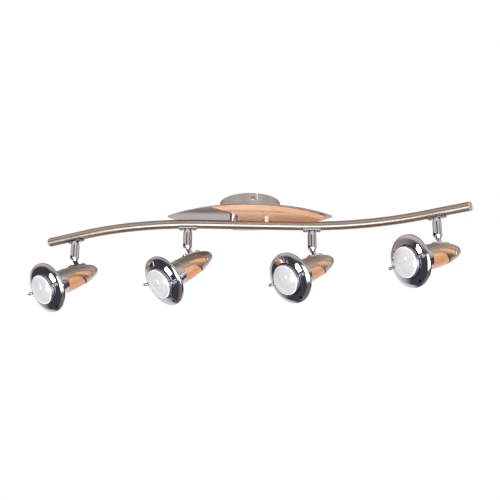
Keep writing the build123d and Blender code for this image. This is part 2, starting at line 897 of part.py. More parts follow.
def write_heads():
    """Write the four stems and heads at their resting aim."""
    stem_pieces = {"stem": make_stem(), "pivot_pin": make_pivot_pin()}
    head_pieces = {
        "knuckle": make_knuckle(),
        "plate_screws": make_plate_screws(),
        "shell": make_shell(),
        "wood_core": make_wood_core(),
        "cup": make_cup(),
        "ring": make_ring(),
        "thumb_screws": make_thumb_screws(),
        "lamp_holder": make_lamp_holder(),
        "bulb": make_bulb(),
    }
    for index, station in enumerate(stations):
        x, y, _ = tube_point(station)
        panned = Pos(x, y, pivot_z) * Rot(0, 0, -head_pan[index])
        aimed = panned * Rot(head_tilt[index], 0, 0)
        for name, piece in stem_pieces.items():
            save(f"{name}_{index + 1}", panned * piece)
        for name, piece in head_pieces.items():
            if name in ("ring", "thumb_screws"):
                piece = roll_about_axis(piece, ring_angle[index])
            save(f"{name}_{index + 1}", aimed * piece)


os.makedirs("parts", exist_ok=True)
write_fixture()
write_heads()
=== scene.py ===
"""Looks of a ceiling light bar with four swivelling spots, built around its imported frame."""

import json
import logging
import math
from abc import ABC, abstractmethod
from dataclasses import dataclass, field
from enum import Enum

import bmesh
import bpy
import numpy as np
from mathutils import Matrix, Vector


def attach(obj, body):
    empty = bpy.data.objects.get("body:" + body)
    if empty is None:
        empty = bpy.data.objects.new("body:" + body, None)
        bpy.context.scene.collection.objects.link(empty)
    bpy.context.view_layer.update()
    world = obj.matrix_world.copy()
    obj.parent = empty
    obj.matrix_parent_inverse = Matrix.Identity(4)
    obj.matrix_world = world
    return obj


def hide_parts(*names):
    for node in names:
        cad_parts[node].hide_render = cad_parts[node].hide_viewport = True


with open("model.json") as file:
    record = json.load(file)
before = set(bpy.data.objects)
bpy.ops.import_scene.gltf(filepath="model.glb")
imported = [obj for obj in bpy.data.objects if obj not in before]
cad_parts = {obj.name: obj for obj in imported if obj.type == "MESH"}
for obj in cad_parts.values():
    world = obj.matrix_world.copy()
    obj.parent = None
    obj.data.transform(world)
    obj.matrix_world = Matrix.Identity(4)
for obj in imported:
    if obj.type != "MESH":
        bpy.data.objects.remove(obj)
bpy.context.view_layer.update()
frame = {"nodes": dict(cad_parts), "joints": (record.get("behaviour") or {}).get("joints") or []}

MM = 0.001
# Points nearer to each other than this are one point
MERGE_MM = 0.002
# An edge is sharp where its faces turn by more than this many degrees
SHARP = 38.0
# Most of a noise's values lie between these
NOISE_RANGE = (0.3, 0.7)
# A rounded corner takes less than half of either side
CORNER_SHARE = 0.48
# A radius under this is a point
LEAST_RADIUS = 1e-6
# How far each spot's ring is turned about its lamp, in degrees
RING_ROLLS = (0.0, 12.0, 0.0, 0.0)
# The colour sockets of a mix: the share of the second colour, the two colours and the result
SHARE, FIRST, SECOND, MIXED = 0, 6, 7, 2

# Short names for types: pairs, corners of a radius, a height and a rounding, and stops of a gradient
Array = np.ndarray
Tree = bpy.types.NodeTree
Socket = bpy.types.NodeSocket
Material = bpy.types.Material
Triple = tuple[float, float, float]
Points = tuple[tuple[float, float], ...]
Corners = tuple[Triple, ...]
Stops = tuple[tuple[float, str], ...]

log = logging.getLogger("spot_bar")


class Axis(Enum):
    """Axis that a turn is made about, as the two axes that it turns."""

    X = (1, 2)
    Y = (2, 0)
    Z = (0, 1)


class Grain(Enum):
    """Where a pattern takes its place from."""

    OBJECT = "Object"
    SURFACE = "UV"


def turn(axis: Axis, degrees: float) -> Array:
    """Return the 4 by 4 matrix of a right-handed turn about one axis.

    Args:
        axis: the axis of the turn.
        degrees: the angle.

    Returns:
        The matrix.
    """
    first, second = axis.value
    angle = math.radians(degrees)
    matrix = np.eye(4)
    matrix[first, first] = matrix[second, second] = math.cos(angle)
    matrix[second, first] = math.sin(angle)
    matrix[first, second] = -math.sin(angle)
    return matrix


def shift(x: float, y: float, z: float) -> Array:
    """Return the 4 by 4 matrix of a move.

    Args:
        x: the move along X.
        y: the move along Y.
        z: the move along Z.

    Returns:
        The matrix.
    """
    matrix = np.eye(4)
    matrix[:3, 3] = (x, y, z)
    return matrix


def linear(hex_colour: str) -> tuple[float, float, float, float]:
    """Turn an sRGB hex colour into linear RGBA: a straight foot, then a power of 2.4.

    Args:
        hex_colour: a colour such as "#c08040".

    Returns:
        Red, green, blue and an alpha of 1.
    """
    value = np.array([int(hex_colour[start:start + 2], 16) for start in (1, 3, 5)]) / 255
    straight = value / 12.92
    curved = ((value + 0.055) / 1.055) ** 2.4
    red, green, blue = np.where(value <= 0.04045, straight, curved)
    return float(red), float(green), float(blue), 1.0


def add_node(tree: Tree, kind: str, inputs: dict | None = None, **settings: object) -> bpy.types.Node:
    """Add a shader node with its settings and links.

    Args:
        tree: the node tree.
        kind: the node's type after "ShaderNode".
        inputs: by input name or number, a socket to link, a hex colour or a plain value.
        settings: values by property name.

    Returns:
        The node.
    """
    node = tree.nodes.new("ShaderNode" + kind)
    for name, value in settings.items():
        setattr(node, name, value)
    for name, value in (inputs or {}).items():
        if isinstance(value, Socket):
            tree.links.new(value, node.inputs[name])
        else:
            node.inputs[name].default_value = linear(value) if isinstance(value, str) else value
    return node


@dataclass(frozen=True)
class Finish(ABC):
    """What every finish has: the real material's name, its grain's source and its range of roughness."""

    name: str
    grain: Grain = Grain.OBJECT
    roughness: tuple[float, float] = (0.35, 0.5)

    @abstractmethod
    def material(self) -> Material:
        """Make the material."""

    def start(self) -> tuple[Material, Tree]:
        """Make a new material with an empty node tree.

        Returns:
            The material and the tree.
        """
        material = bpy.data.materials.new(self.name)
        material.use_nodes = True
        material.node_tree.nodes.clear()
        return material, material.node_tree

    def pattern(self, tree: Tree, size_mm: Triple, detail: float) -> Socket:
        """Add a noise whose cells have a real size.

        Args:
            tree: the node tree.
            size_mm: the cells' size along each axis.
            detail: octaves of finer noise.

        Returns:
            The noise value's socket.
        """
        place = add_node(tree, "TexCoord").outputs[self.grain.value]
        scale = [1 / (size * MM) for size in size_mm]
        mapped = add_node(tree, "Mapping", {"Scale": scale, "Vector": place}).outputs["Vector"]
        return add_node(tree, "TexNoise", {"Scale": 1.0, "Detail": detail, "Vector": mapped}).outputs["Fac"]

    def surface(self, material: Material, pattern: Socket, inputs: dict) -> Material:
        """Add the surface shader, whose roughness follows a pattern, and the output.

        Args:
            material: the material.
            pattern: the value that goes from the smoothest places to the roughest.
            inputs: the shader's other values and links, by input name.

        Returns:
            The material.
        """
        tree = material.node_tree
        start, end = NOISE_RANGE
        low, high = self.roughness
        rough = add_node(tree, "MapRange", {
            "Value": pattern, "From Min": start, "From Max": end, "To Min": low, "To Max": high,
        })
        shader = add_node(tree, "BsdfPrincipled", {"Roughness": rough.outputs["Result"], **inputs})
        add_node(tree, "OutputMaterial", {"Surface": shader.outputs["BSDF"]})
        return material


@dataclass(frozen=True)
class BrushedMetal(Finish):
    """Brushed plate: fine streaks that soften the highlight, and stretch it along a tube."""

    roughness: tuple[float, float] = (0.24, 0.34)
    colour: str = "#b3a69d"
    shade: str = "#a2958c"
    streak_mm: Triple = (70.0, 1.3, 1.3)
    relief_mm: float = 0.01
    relief_share: float = 0.25
    stretch: float = 0.0

    def material(self) -> Material:
        """Make the material; real brush marks are too fine to show, so the streaks are drawn wider.

        Returns:
            The material.
        """
        material, tree = self.start()
        streak = self.pattern(tree, self.streak_mm, detail=3.0)
        shades = {SHARE: streak, FIRST: self.shade, SECOND: self.colour}
        tone = add_node(tree, "Mix", shades, data_type="RGBA")
        relief = add_node(tree, "Bump", {
            "Strength": self.relief_share, "Distance": self.relief_mm * MM, "Height": streak,
        })
        inputs = {"Base Color": tone.outputs[MIXED], "Normal": relief.outputs["Normal"], "Metallic": 1.0}
        if self.stretch:
            along = add_node(tree, "Tangent", direction_type="UV_MAP", uv_map="surface")
            inputs |= {"Tangent": along.outputs["Tangent"], "Anisotropic": self.stretch}
        return self.surface(material, streak, inputs)


@dataclass(frozen=True)
class MirrorPlate(Finish):
    """Buffed plate or silvering: a mirror with faint wipe marks."""

    roughness: tuple[float, float] = (0.02, 0.05)
    colour: str = "#d6d4d9"
    shade: str = "#cccad0"
    smudge_mm: Triple = (9.0, 9.0, 9.0)

    def material(self) -> Material:
        """Make the material.

        Returns:
            The material.
        """
        material, tree = self.start()
        smudge = self.pattern(tree, self.smudge_mm, detail=4.0)
        shades = {SHARE: smudge, FIRST: self.shade, SECOND: self.colour}
        tone = add_node(tree, "Mix", shades, data_type="RGBA")
        return self.surface(material, smudge, {"Base Color": tone.outputs[MIXED], "Metallic": 1.0})


@dataclass(frozen=True)
class LacqueredBeech(Finish):
    """Steamed beech under clear gloss lacquer: soft growth bands and short darker ray flecks."""

    light: str = "#efbd98"
    dark: str = "#e4ad85"
    fleck: str = "#d3966a"
    band_mm: Triple = (90.0, 5.0, 5.0)
    fleck_mm: Triple = (5.0, 0.9, 0.9)
    fleck_range: tuple[float, float] = (0.58, 0.72)
    fleck_depth: float = 0.6
    coat_roughness: float = 0.08

    def material(self) -> Material:
        """Make the material; real flecks are finer, and these are drawn coarse enough to show.

        Returns:
            The material.
        """
        material, tree = self.start()
        band = self.pattern(tree, self.band_mm, detail=4.0)
        fleck = self.pattern(tree, self.fleck_mm, detail=2.0)
        low, high = NOISE_RANGE
        year = add_node(tree, "MapRange", {"Value": band, "From Min": low, "From Max": high})
        low, high = self.fleck_range
        mark = add_node(tree, "MapRange", {
            "Value": fleck, "From Min": low, "From Max": high, "To Max": self.fleck_depth,
        })
        ground = add_node(tree, "Mix", {
            SHARE: year.outputs["Result"], FIRST: self.dark, SECOND: self.light,
        }, data_type="RGBA")
        tone = add_node(tree, "Mix", {
            SHARE: mark.outputs["Result"], FIRST: ground.outputs[MIXED], SECOND: self.fleck,
        }, data_type="RGBA")
        return self.surface(material, fleck, {
            "Base Color": tone.outputs[MIXED], "Coat Weight": 1.0, "Coat Roughness": self.coat_roughness,
        })


@dataclass(frozen=True)
class SmoothCoated(Finish):
    """Moulded plastic, frosted glass or painted shade: a nearly even colour with a fine mottle under its
    gloss.
    """

    colour: str = "#d8d9dc"
    shade: str = "#cfd0d4"
    mottle_mm: float = 3.0
    specular: float = 0.5
    coat: float = 0.0
    coat_roughness: float = 0.03
    coat_ior: float = 1.5

    def material(self) -> Material:
        """Make the material.

        Returns:
            The material.
        """
        material, tree = self.start()
        mottle = self.pattern(tree, (self.mottle_mm,) * 3, detail=3.0)
        shades = {SHARE: mottle, FIRST: self.shade, SECOND: self.colour}
        tone = add_node(tree, "Mix", shades, data_type="RGBA")
        return self.surface(material, mottle, {
            "Base Color": tone.outputs[MIXED],
            "Specular IOR Level": self.specular,
            "Coat Weight": self.coat,
            "Coat Roughness": self.coat_roughness,
            "Coat IOR": self.coat_ior,
        })


@dataclass
class Finishes:
    """Every finish of the fixture, made once."""

    made: dict[str, Material] = field(default_factory=dict)
    kinds: tuple[Finish, ...] = (
        # Drawn steel tube, nickel plated and brushed along its length: one long soft line of light
        BrushedMetal(
            "satin_nickel_drawn", Grain.SURFACE, colour="#cdbdb2", shade="#bfaea2",
            roughness=(0.42, 0.44), streak_mm=(160.0, 2.4, 2.4), relief_mm=0.0, stretch=0.9,
        ),
        # Steel sheet, nickel plated and brushed lengthwise: a grey sheen that changes slowly
        BrushedMetal("satin_nickel_sheet", colour="#c7bcbc", shade="#bab0af"),
        # Steel, spun, nickel plated and brushed round its axis: a warm grey with a broad highlight
        BrushedMetal(
            "satin_nickel_spun", Grain.SURFACE, colour="#d4c7bc", shade="#c6b8ae",
            roughness=(0.28, 0.36), streak_mm=(1.5, 60.0, 60.0), relief_mm=0.002,
        ),
        # Steel, spun, nickel plated and brushed round its wall: an even pale grey
        BrushedMetal(
            "satin_canopy", colour="#d0cbc8", shade="#c5c0bc",
            roughness=(0.38, 0.46), streak_mm=(40.0, 40.0, 1.2), relief_mm=0.003,
        ),
        # Chrome plate, buffed: a clear mirror
        MirrorPlate("polished_chrome"),
        # Dark chrome plate, left as it was plated: a duller and darker mirror
        MirrorPlate("dark_chrome", colour="#a29c9a", shade="#8d8785", roughness=(0.08, 0.16)),
        # Blown glass, silvered inside: a blurred grey mirror
        MirrorPlate("silvered_glass", colour="#c4c2c8", shade="#b8b6bd", roughness=(0.4, 0.5)),
        # Turned or pressed steel, zinc plated: a plain light grey
        BrushedMetal("zinc_plated_steel", colour="#c3c2c0", shade="#b0afad", streak_mm=(6.0, 6.0, 6.0)),
        # Turned steel, brass plated: a dull brown yellow
        BrushedMetal("brass_plated_steel", colour="#b39a85", shade="#9a816b", streak_mm=(6.0, 6.0, 6.0)),
        # Brass turned from bar: yellow, with marks round its axis
        BrushedMetal("turned_brass", colour="#c9a765", shade="#b59250", streak_mm=(8.0, 8.0, 0.8)),
        # Planed beech board under gloss lacquer: pale orange brown with flecks along the grain
        LacqueredBeech("lacquered_beech_leaf"),
        # Turned beech under gloss lacquer: the same wood, warmer
        LacqueredBeech(
            "lacquered_beech_inlay", Grain.SURFACE, light="#e9a975", dark="#dc9966", fleck="#c58451",
        ),
        # Blown glass, frosted inside and clear outside: white with a small clear highlight, for which the
        # clear side mirrors a little more than plain glass
        SmoothCoated(
            "frosted_glass_dome", colour="#dad9dd", shade="#d1d0d5", specular=0.0, coat=1.0, coat_ior=2.0,
        ),
        # The same glass where it turns to the side, painted brighter: a painted highlight for the light that
        # the silvering behind it sends through
        SmoothCoated("glass_shoulder_painted_highlight", colour="#fafbfc", shade="#f4f6f8", specular=0.0, coat=1.0),
        # Moulded polyethylene: a waxy grey green
        SmoothCoated("plug_polyethylene", colour="#b4b29c", shade="#a6a48e", roughness=(0.4, 0.55)),
        # Moulded polyamide: cream white with a soft gloss
        SmoothCoated("terminal_polyamide", colour="#e6e3d8", shade="#dad7cc"),
        # Extruded PVC: an even pale grey
        SmoothCoated("cable_sheath_pvc", colour="#dcdcd8", shade="#d2d2ce"),
        # Moulded phenolic resin: nearly black with a soft gloss
        SmoothCoated("holder_phenolic", colour="#232323", shade="#1b1b1b"),
        # Painted shade, black and without gloss: in the gaps round the inlays and in the rings' holes, where
        # there is only shade
        SmoothCoated(
            "painted_shade_black", colour="#120e0b", shade="#0c0907", roughness=(0.6, 0.8), specular=0.0,
        ),
    )

    def __post_init__(self) -> None:
        """Make the materials."""
        for kind in self.kinds:
            self.made[kind.name] = kind.material()

    def __getitem__(self, name: str) -> Material:
        """Return a finish by its name."""
        return self.made[name]

    def dress(self, node: str, name: str) -> None:
        """Give a piece of the frame its finish.

        Args:
            node: the piece's name in the frame.
            name: the finish's name.
        """
        mesh = frame["nodes"][node].data
        mesh.materials.clear()
        mesh.materials.append(self.made[name])
        log.info("dressed %s in %s", node, name)


@dataclass
class Patch:
    """A grid of points in millimetres, with its surface coordinates and its finish's number."""

    points: Array
    surface: Array | None = None
    finish: int = 0

    def placed(self, matrix: Array) -> "Patch":
        """Return the patch moved by a 4 by 4 matrix."""
        points = self.points @ matrix[:3, :3].T + matrix[:3, 3]
        return Patch(points, self.surface, self.finish)


def lathe(profile: Array, segments: int = 96, finish: int = 0) -> Patch:
    """Turn a profile about the Z axis: x = r cos a, y = r sin a, z = height.

    Args:
        profile: radius and height, one row a point.
        segments: steps round the axis.
        finish: the finish's number.

    Returns:
        A patch whose last column lies on its first.
    """
    angle = np.linspace(0, 2 * np.pi, segments + 1)
    radius, height = profile[:, :1], profile[:, 1:]
    points = np.stack(np.broadcast_arrays(radius * np.cos(angle), radius * np.sin(angle), height), axis=-1)
    step = np.linalg.norm(np.diff(profile, axis=0), axis=1)
    along = np.concatenate([[0.0], np.cumsum(step)])[:, None]
    round_about = angle * profile[:, 0].max()
    surface = np.stack(np.broadcast_arrays(along, round_about), axis=-1)
    return Patch(points, surface, finish)


def rounded(corners: Corners, steps: int = 6) -> Array:
    """Round a profile's corners with parabolas tangent to both sides.

    Args:
        corners: radius, height and the length taken off both sides at that corner.
        steps: points of a rounded corner.

    Returns:
        The profile's points.
    """
    share = np.linspace(0, 1, steps)[:, None]
    place = np.array([corner[:2] for corner in corners])
    rows = []
    for index, (_, _, reach) in enumerate(corners):
        here = place[index]
        if reach == 0 or index in (0, len(corners) - 1):
            rows.append(here[None])
            continue
        before = place[index - 1] - here
        after = place[index + 1] - here
        first = here + before * min(CORNER_SHARE, reach / np.linalg.norm(before))
        last = here + after * min(CORNER_SHARE, reach / np.linalg.norm(after))
        rows.append((1 - share) ** 2 * first + 2 * share * (1 - share) * here + share**2 * last)
    return np.concatenate(rows)


def sheet_section(face: Array, thickness: float) -> Array:
    """Close a profile into the section of a sheet by moving it along its normals.

    Args:
        face: the profile of one face.
        thickness: how far the other face lies, to the left of the profile's direction.

    Returns:
        A closed profile.
    """
    along = np.gradient(face, axis=0)
    along /= np.linalg.norm(along, axis=1, keepdims=True)
    normal = np.stack([-along[:, 1], along[:, 0]], axis=1)
    back = (face + normal * thickness)[::-1]
    return np.concatenate([face, back, face[:1]])


def solid(name: str, patches: list[Patch], sharp: float = SHARP, shut: bool = True) -> bpy.types.Object:
    """Join patches into one mesh: each grid's neighbours make quads, and points that meet become one.

    Args:
        name: the object's name.
        patches: the patches, whose borders meet point to point.
        sharp: the angle in degrees from which an edge is sharp.
        shut: whether the mesh is a closed solid, whose normals can be worked out.

    Returns:
        The object.
    """
    points, faces, numbers, surface, base = [], [], [], [], 0
    for patch in patches:
        rows, columns = patch.points.shape[:2]
        index = base + np.arange(rows * columns).reshape(rows, columns)
        quad = np.stack([index[:-1, :-1], index[:-1, 1:], index[1:, 1:], index[1:, :-1]], axis=-1)
        faces.append(quad.reshape(-1, 4))
        numbers.append(np.full(quad.shape[0] * quad.shape[1], patch.finish))
        points.append(patch.points.reshape(-1, 3))
        flat = np.zeros((rows, columns, 2)) if patch.surface is None else patch.surface
        surface.append(flat.reshape(-1, 2))
        base += rows * columns
    quads = np.concatenate(faces)
    mesh = bpy.data.meshes.new(name)
    mesh.from_pydata((np.concatenate(points) * MM).tolist(), [], quads.tolist())
    mesh.polygons.foreach_set("material_index", np.concatenate(numbers).astype(np.int32))
    layer = mesh.uv_layers.new(name="surface")
    layer.data.foreach_set("uv", (np.concatenate(surface) * MM)[quads.ravel()].ravel())
    work = bmesh.new()
    work.from_mesh(mesh)
    bmesh.ops.remove_doubles(work, verts=work.verts, dist=MERGE_MM * MM)
    if shut:
        bmesh.ops.recalc_face_normals(work, faces=work.faces)
    work.to_mesh(mesh)
    work.free()
    mesh.polygons.foreach_set("use_smooth", np.ones(len(mesh.polygons), dtype=bool))
    mesh.set_sharp_from_angle(angle=math.radians(sharp))
    thing = bpy.data.objects.new(name, mesh)
    bpy.context.scene.collection.objects.link(thing)
    return thing


def piece(
    name: str,
    patches: list[Patch],
    body: str,
    finishes: list[Material],
    replaces: tuple[str, ...],
    sharp: float = SHARP,
    shut: bool = True,
) -> bpy.types.Object:
    """Build a dressed object that rides on a body.

    Args:
        name: the piece's name.
        patches: the patches, whose borders meet point to point.
        body: the body that carries it.
        finishes: the materials, by number.
        replaces: the frame's nodes that it stands for.
        sharp: the angle in degrees from which an edge is sharp.
        shut: whether the mesh is a closed solid, whose normals can be worked out.

    Returns:
        The object.
    """
    thing = solid(name, patches, sharp, shut)
    for finish in finishes:
        thing.data.materials.append(finish)
    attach(thing, body)
    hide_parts(*replaces)
    log.info("built %s with %d faces", name, len(thing.data.polygons))
    return thing


@dataclass
class CeilingMount:
    """The pieces of the frame that carry the bar and show as they are, with their finishes."""

    finishes: Finishes
    dressed: tuple[tuple[str, str], ...] = (
        ("ceiling_bracket", "zinc_plated_steel"),
        ("canopy", "satin_canopy"),
        ("canopy_screws", "brass_plated_steel"),
        ("terminal_block", "terminal_polyamide"),
        ("leaf_plate", "satin_nickel_sheet"),
        ("wood_leaf", "lacquered_beech_leaf"),
        ("leaf_screws", "zinc_plated_steel"),
        ("post_nipples", "turned_brass"),
        ("post_nuts", "turned_brass"),
        ("tube_cable", "cable_sheath_pvc"),
        ("saddles", "dark_chrome"),
        ("saddle_screws", "zinc_plated_steel"),
    )

    def build(self) -> None:
        """Dress the pieces."""
        for node, finish in self.dressed:
            self.finishes.dress(node, finish)


@dataclass
class Bar:
    """The S-curved tube with its plugs and posts; sizes in millimetres, angles in degrees."""

    finishes: Finishes
    diameter: float = 15.0
    wall: float = 1.2
    axis_z: float = -37.1
    heading: float = 2.9
    centre_run: float = 80.0
    bend_radius: float = 355.0
    bend_angle: float = 33.7
    end_run: float = 76.7
    rings: int = 220
    segments: int = 64
    plug_thickness: float = 2.3
    plug_round: float = 1.1
    plug_lip_round: float = 0.15
    plug_depth: float = 9.0
    plug_tip_round: float = 0.6
    post_spacing: float = 54.0
    post_diameter: float = 13.5
    post_round: float = 0.25
    post_segments: int = 72
    leaf_bottom: float = -22.7
    wood_bottom: float = -28.2
    fit: float = 0.05

    @property
    def reach(self) -> float:
        """Return the centre line's length from the middle to one end."""
        return self.centre_run + self.bend_radius * math.radians(self.bend_angle) + self.end_run

    def centre_line(self, station: Array) -> tuple[Array, Array]:
        """Give the centre line from the middle out: straight, arc, straight, and the same turned half round.

        Args:
            station: signed distances along the line.

        Returns:
            The points and the headings in radians.
        """
        side = np.where(station >= 0, 1.0, -1.0)
        run = np.abs(station)
        start = math.radians(self.heading)
        bend = math.radians(self.bend_angle)
        straight = np.minimum(run, self.centre_run)
        past = np.maximum(run - self.centre_run, 0)
        heading = start - np.minimum(past / self.bend_radius, bend)
        tail = np.maximum(past - self.bend_radius * bend, 0)
        x = straight * math.cos(start) + tail * np.cos(heading)
        x += self.bend_radius * (math.sin(start) - np.sin(heading))
        y = straight * math.sin(start) + tail * np.sin(heading)
        y += self.bend_radius * (np.cos(heading) - math.cos(start))
        return np.stack([side * x, side * y, np.full_like(x, self.axis_z)], axis=-1), heading

    def tube(self) -> None:
        """Build the tube: a circle carried along the centre line, outside and back along the bore."""
        line = np.linspace(-self.reach, self.reach, self.rings)
        outer, bore = self.diameter / 2, self.diameter / 2 - self.wall
        station = np.concatenate([line, line[::-1], line[:1]])
        radius = np.concatenate([np.full(self.rings, outer), np.full(self.rings, bore), [outer]])
        centre, heading = self.centre_line(station)
        angle = np.linspace(0, 2 * np.pi, self.segments + 1)
        across = np.stack([-np.sin(heading), np.cos(heading), np.zeros_like(heading)], axis=-1)
        up = np.array([0.0, 0.0, 1.0])
        outward = np.cos(angle)[None, :, None] * across[:, None] + np.sin(angle)[None, :, None] * up
        points = centre[:, None] + radius[:, None, None] * outward
        surface = np.stack(np.broadcast_arrays(station[:, None], outer * angle), axis=-1)
        finish = [self.finishes["satin_nickel_drawn"]]
        piece("tube_drawn", [Patch(points, surface)], "bar", finish, ("tube",))

    def end_plugs(self) -> None:
        """Build the two moulded plugs: a profile turned about each end of the line."""
        radius = self.diameter / 2
        spigot = radius - self.wall - self.fit
        profile = rounded((
            (0, -self.plug_depth, 0),
            (spigot, -self.plug_depth, self.plug_tip_round),
            (spigot, 0, 0),
            (radius, 0, self.plug_lip_round),
            (radius, self.plug_thickness, self.plug_round),
            (0, self.plug_thickness, 0),
        ))
        patches = []
        for side in (1, -1):
            (place,), (heading,) = self.centre_line(np.array([side * self.reach]))
            matrix = shift(*place) @ turn(Axis.Z, math.degrees(heading)) @ turn(Axis.Y, 90 * side)
            patches.append(lathe(profile, self.segments).placed(matrix))
        finish = [self.finishes["plug_polyethylene"]]
        piece("end_plugs_moulded", patches, "bar", finish, ("end_plugs",))

    def posts(self) -> None:
        """Build the posts: cylinders whose feet are lifted to the tube's crown, a circle across it."""
        heading = math.radians(self.heading)
        sideways = np.array([-math.sin(heading), math.cos(heading)])
        run = self.post_spacing / 2 / math.cos(heading)
        radius, foot = self.post_diameter / 2, self.axis_z
        finish = [self.finishes["polished_chrome"]]
        for side, top, node in ((-1, self.leaf_bottom, "post_left"), (1, self.wood_bottom, "post_right")):
            (place,), _ = self.centre_line(np.array([side * run]))
            profile = rounded(((0, top, 0), (radius, top, self.post_round), (radius, foot, 0), (0, foot, 0)))
            patch = lathe(profile, self.post_segments).placed(shift(place[0], place[1], 0))
            across = (patch.points[..., :2] - place[:2]) @ sideways
            crown = foot + np.sqrt((self.diameter / 2 + self.fit) ** 2 - across**2)
            patch.points[..., 2] = np.maximum(patch.points[..., 2], crown)
            piece(node + "_chrome", [patch], "bar", finish, (node,))

    def build(self) -> None:
        """Build the tube, the plugs and the posts."""
        self.tube()
        self.end_plugs()
        self.posts()


@dataclass
class Aim:
    """Where one spot's stem stands and its lamp points, read from its joints; sizes in millimetres."""

    number: int
    # The tilt's upper limit, in degrees over level
    up_limit: float = 5.0
    axis_drop: float = 29.2
    shoulder_reach: float = 85.5

    def __post_init__(self) -> None:
        """Work out the upright frame at the hinge pin and the lamp's frame at its shoulder."""
        joints = {joint["name"]: joint for joint in frame["joints"]}
        tilt = joints[self.name("tilt")]
        pivot = np.array(tilt["pos_m"]) / MM
        pan = math.degrees(math.atan2(-tilt["axis"][1], tilt["axis"][0]))
        down = -self.up_limit - tilt["range_deg"][0]
        self.swivel = self.name("swivel")
        self.head = self.name("head")
        self.upright = shift(*pivot) @ turn(Axis.Z, -pan)
        aimed = self.upright @ turn(Axis.X, down)
        self.lamp_axis = aimed @ shift(0, -self.shoulder_reach, -self.axis_drop) @ turn(Axis.X, -90)

    def name(self, word: str) -> str:
        """Return a name with this spot's number."""
        return f"{word}_{self.number}"


@dataclass
class Stem:
    """The stem, a barrel over a fork of two prongs; sizes in millimetres, heights from the hinge pin."""

    finishes: Finishes
    aim: Aim
    radius: float = 7.3
    top: float = 30.5
    top_inset: float = 1.6
    top_taper: float = 6.0
    top_round: float = 0.5
    taper_round: float = 2.0
    tip_radius: float = 4.5
    tip_length: float = 5.3
    below: float = 4.5
    fork_slot: float = 6.0
    fork_top: float = 4.5
    fork_round: float = 0.6
    end_inset: float = 1.0
    segments: int = 72
    arc_points: int = 33
    flat_points: int = 8

    def barrel(self) -> Patch:
        """Return the barrel: a profile turned about the stem's axis."""
        return lathe(rounded((
            (0, self.top, 0),
            (self.radius - self.top_inset, self.top, self.top_round),
            (self.radius, self.top - self.top_taper, self.taper_round),
            (self.radius, self.fork_top, 0),
            (0, self.fork_top, 0),
        )), self.segments)

    def prong(self) -> Patch:
        """Give one prong: on each level the part of a circle that lies beyond the slot.

        A level's row runs along the arc, x = s cos a and y = s sin a as far as x = half the slot, and back
        along the slot's flat. The circle shrinks evenly below the cone's start. The end rows are points.

        Returns:
            The prong.
        """
        half, cone = self.fork_slot / 2, self.tip_length - self.below
        level = np.array([
            self.fork_top, self.fork_top, cone + self.fork_round, cone, cone - self.fork_round,
            -self.below, -self.below,
        ])
        taper = (self.radius - self.tip_radius) / self.tip_length
        size = self.radius - taper * np.clip(cone - level, 0, None)
        angle = np.arccos(half / size)[:, None] * np.linspace(-1, 1, self.arc_points)
        x, y = size[:, None] * np.cos(angle), size[:, None] * np.sin(angle)
        flat = np.linspace(1, -1, self.flat_points + 1)[1:]
        x = np.concatenate([x, np.full((len(level), self.flat_points), half)], axis=1)
        y = np.concatenate([y, y[:, -1:] * flat], axis=1)
        x[[0, -1]] = half + self.end_inset
        y[[0, -1]] = 0.0
        return Patch(np.stack(np.broadcast_arrays(x, y, level[:, None]), axis=-1))

    def build(self) -> None:
        """Build the stem and dress its pin."""
        prong = self.prong()
        patches = [self.barrel(), prong, prong.placed(turn(Axis.Z, 180))]
        patches = [patch.placed(self.aim.upright) for patch in patches]
        node = self.aim.name("stem")
        finish = [self.finishes["polished_chrome"]]
        piece(node + "_turned", patches, self.aim.swivel, finish, (node,))
        self.finishes.dress(self.aim.name("pivot_pin"), "zinc_plated_steel")


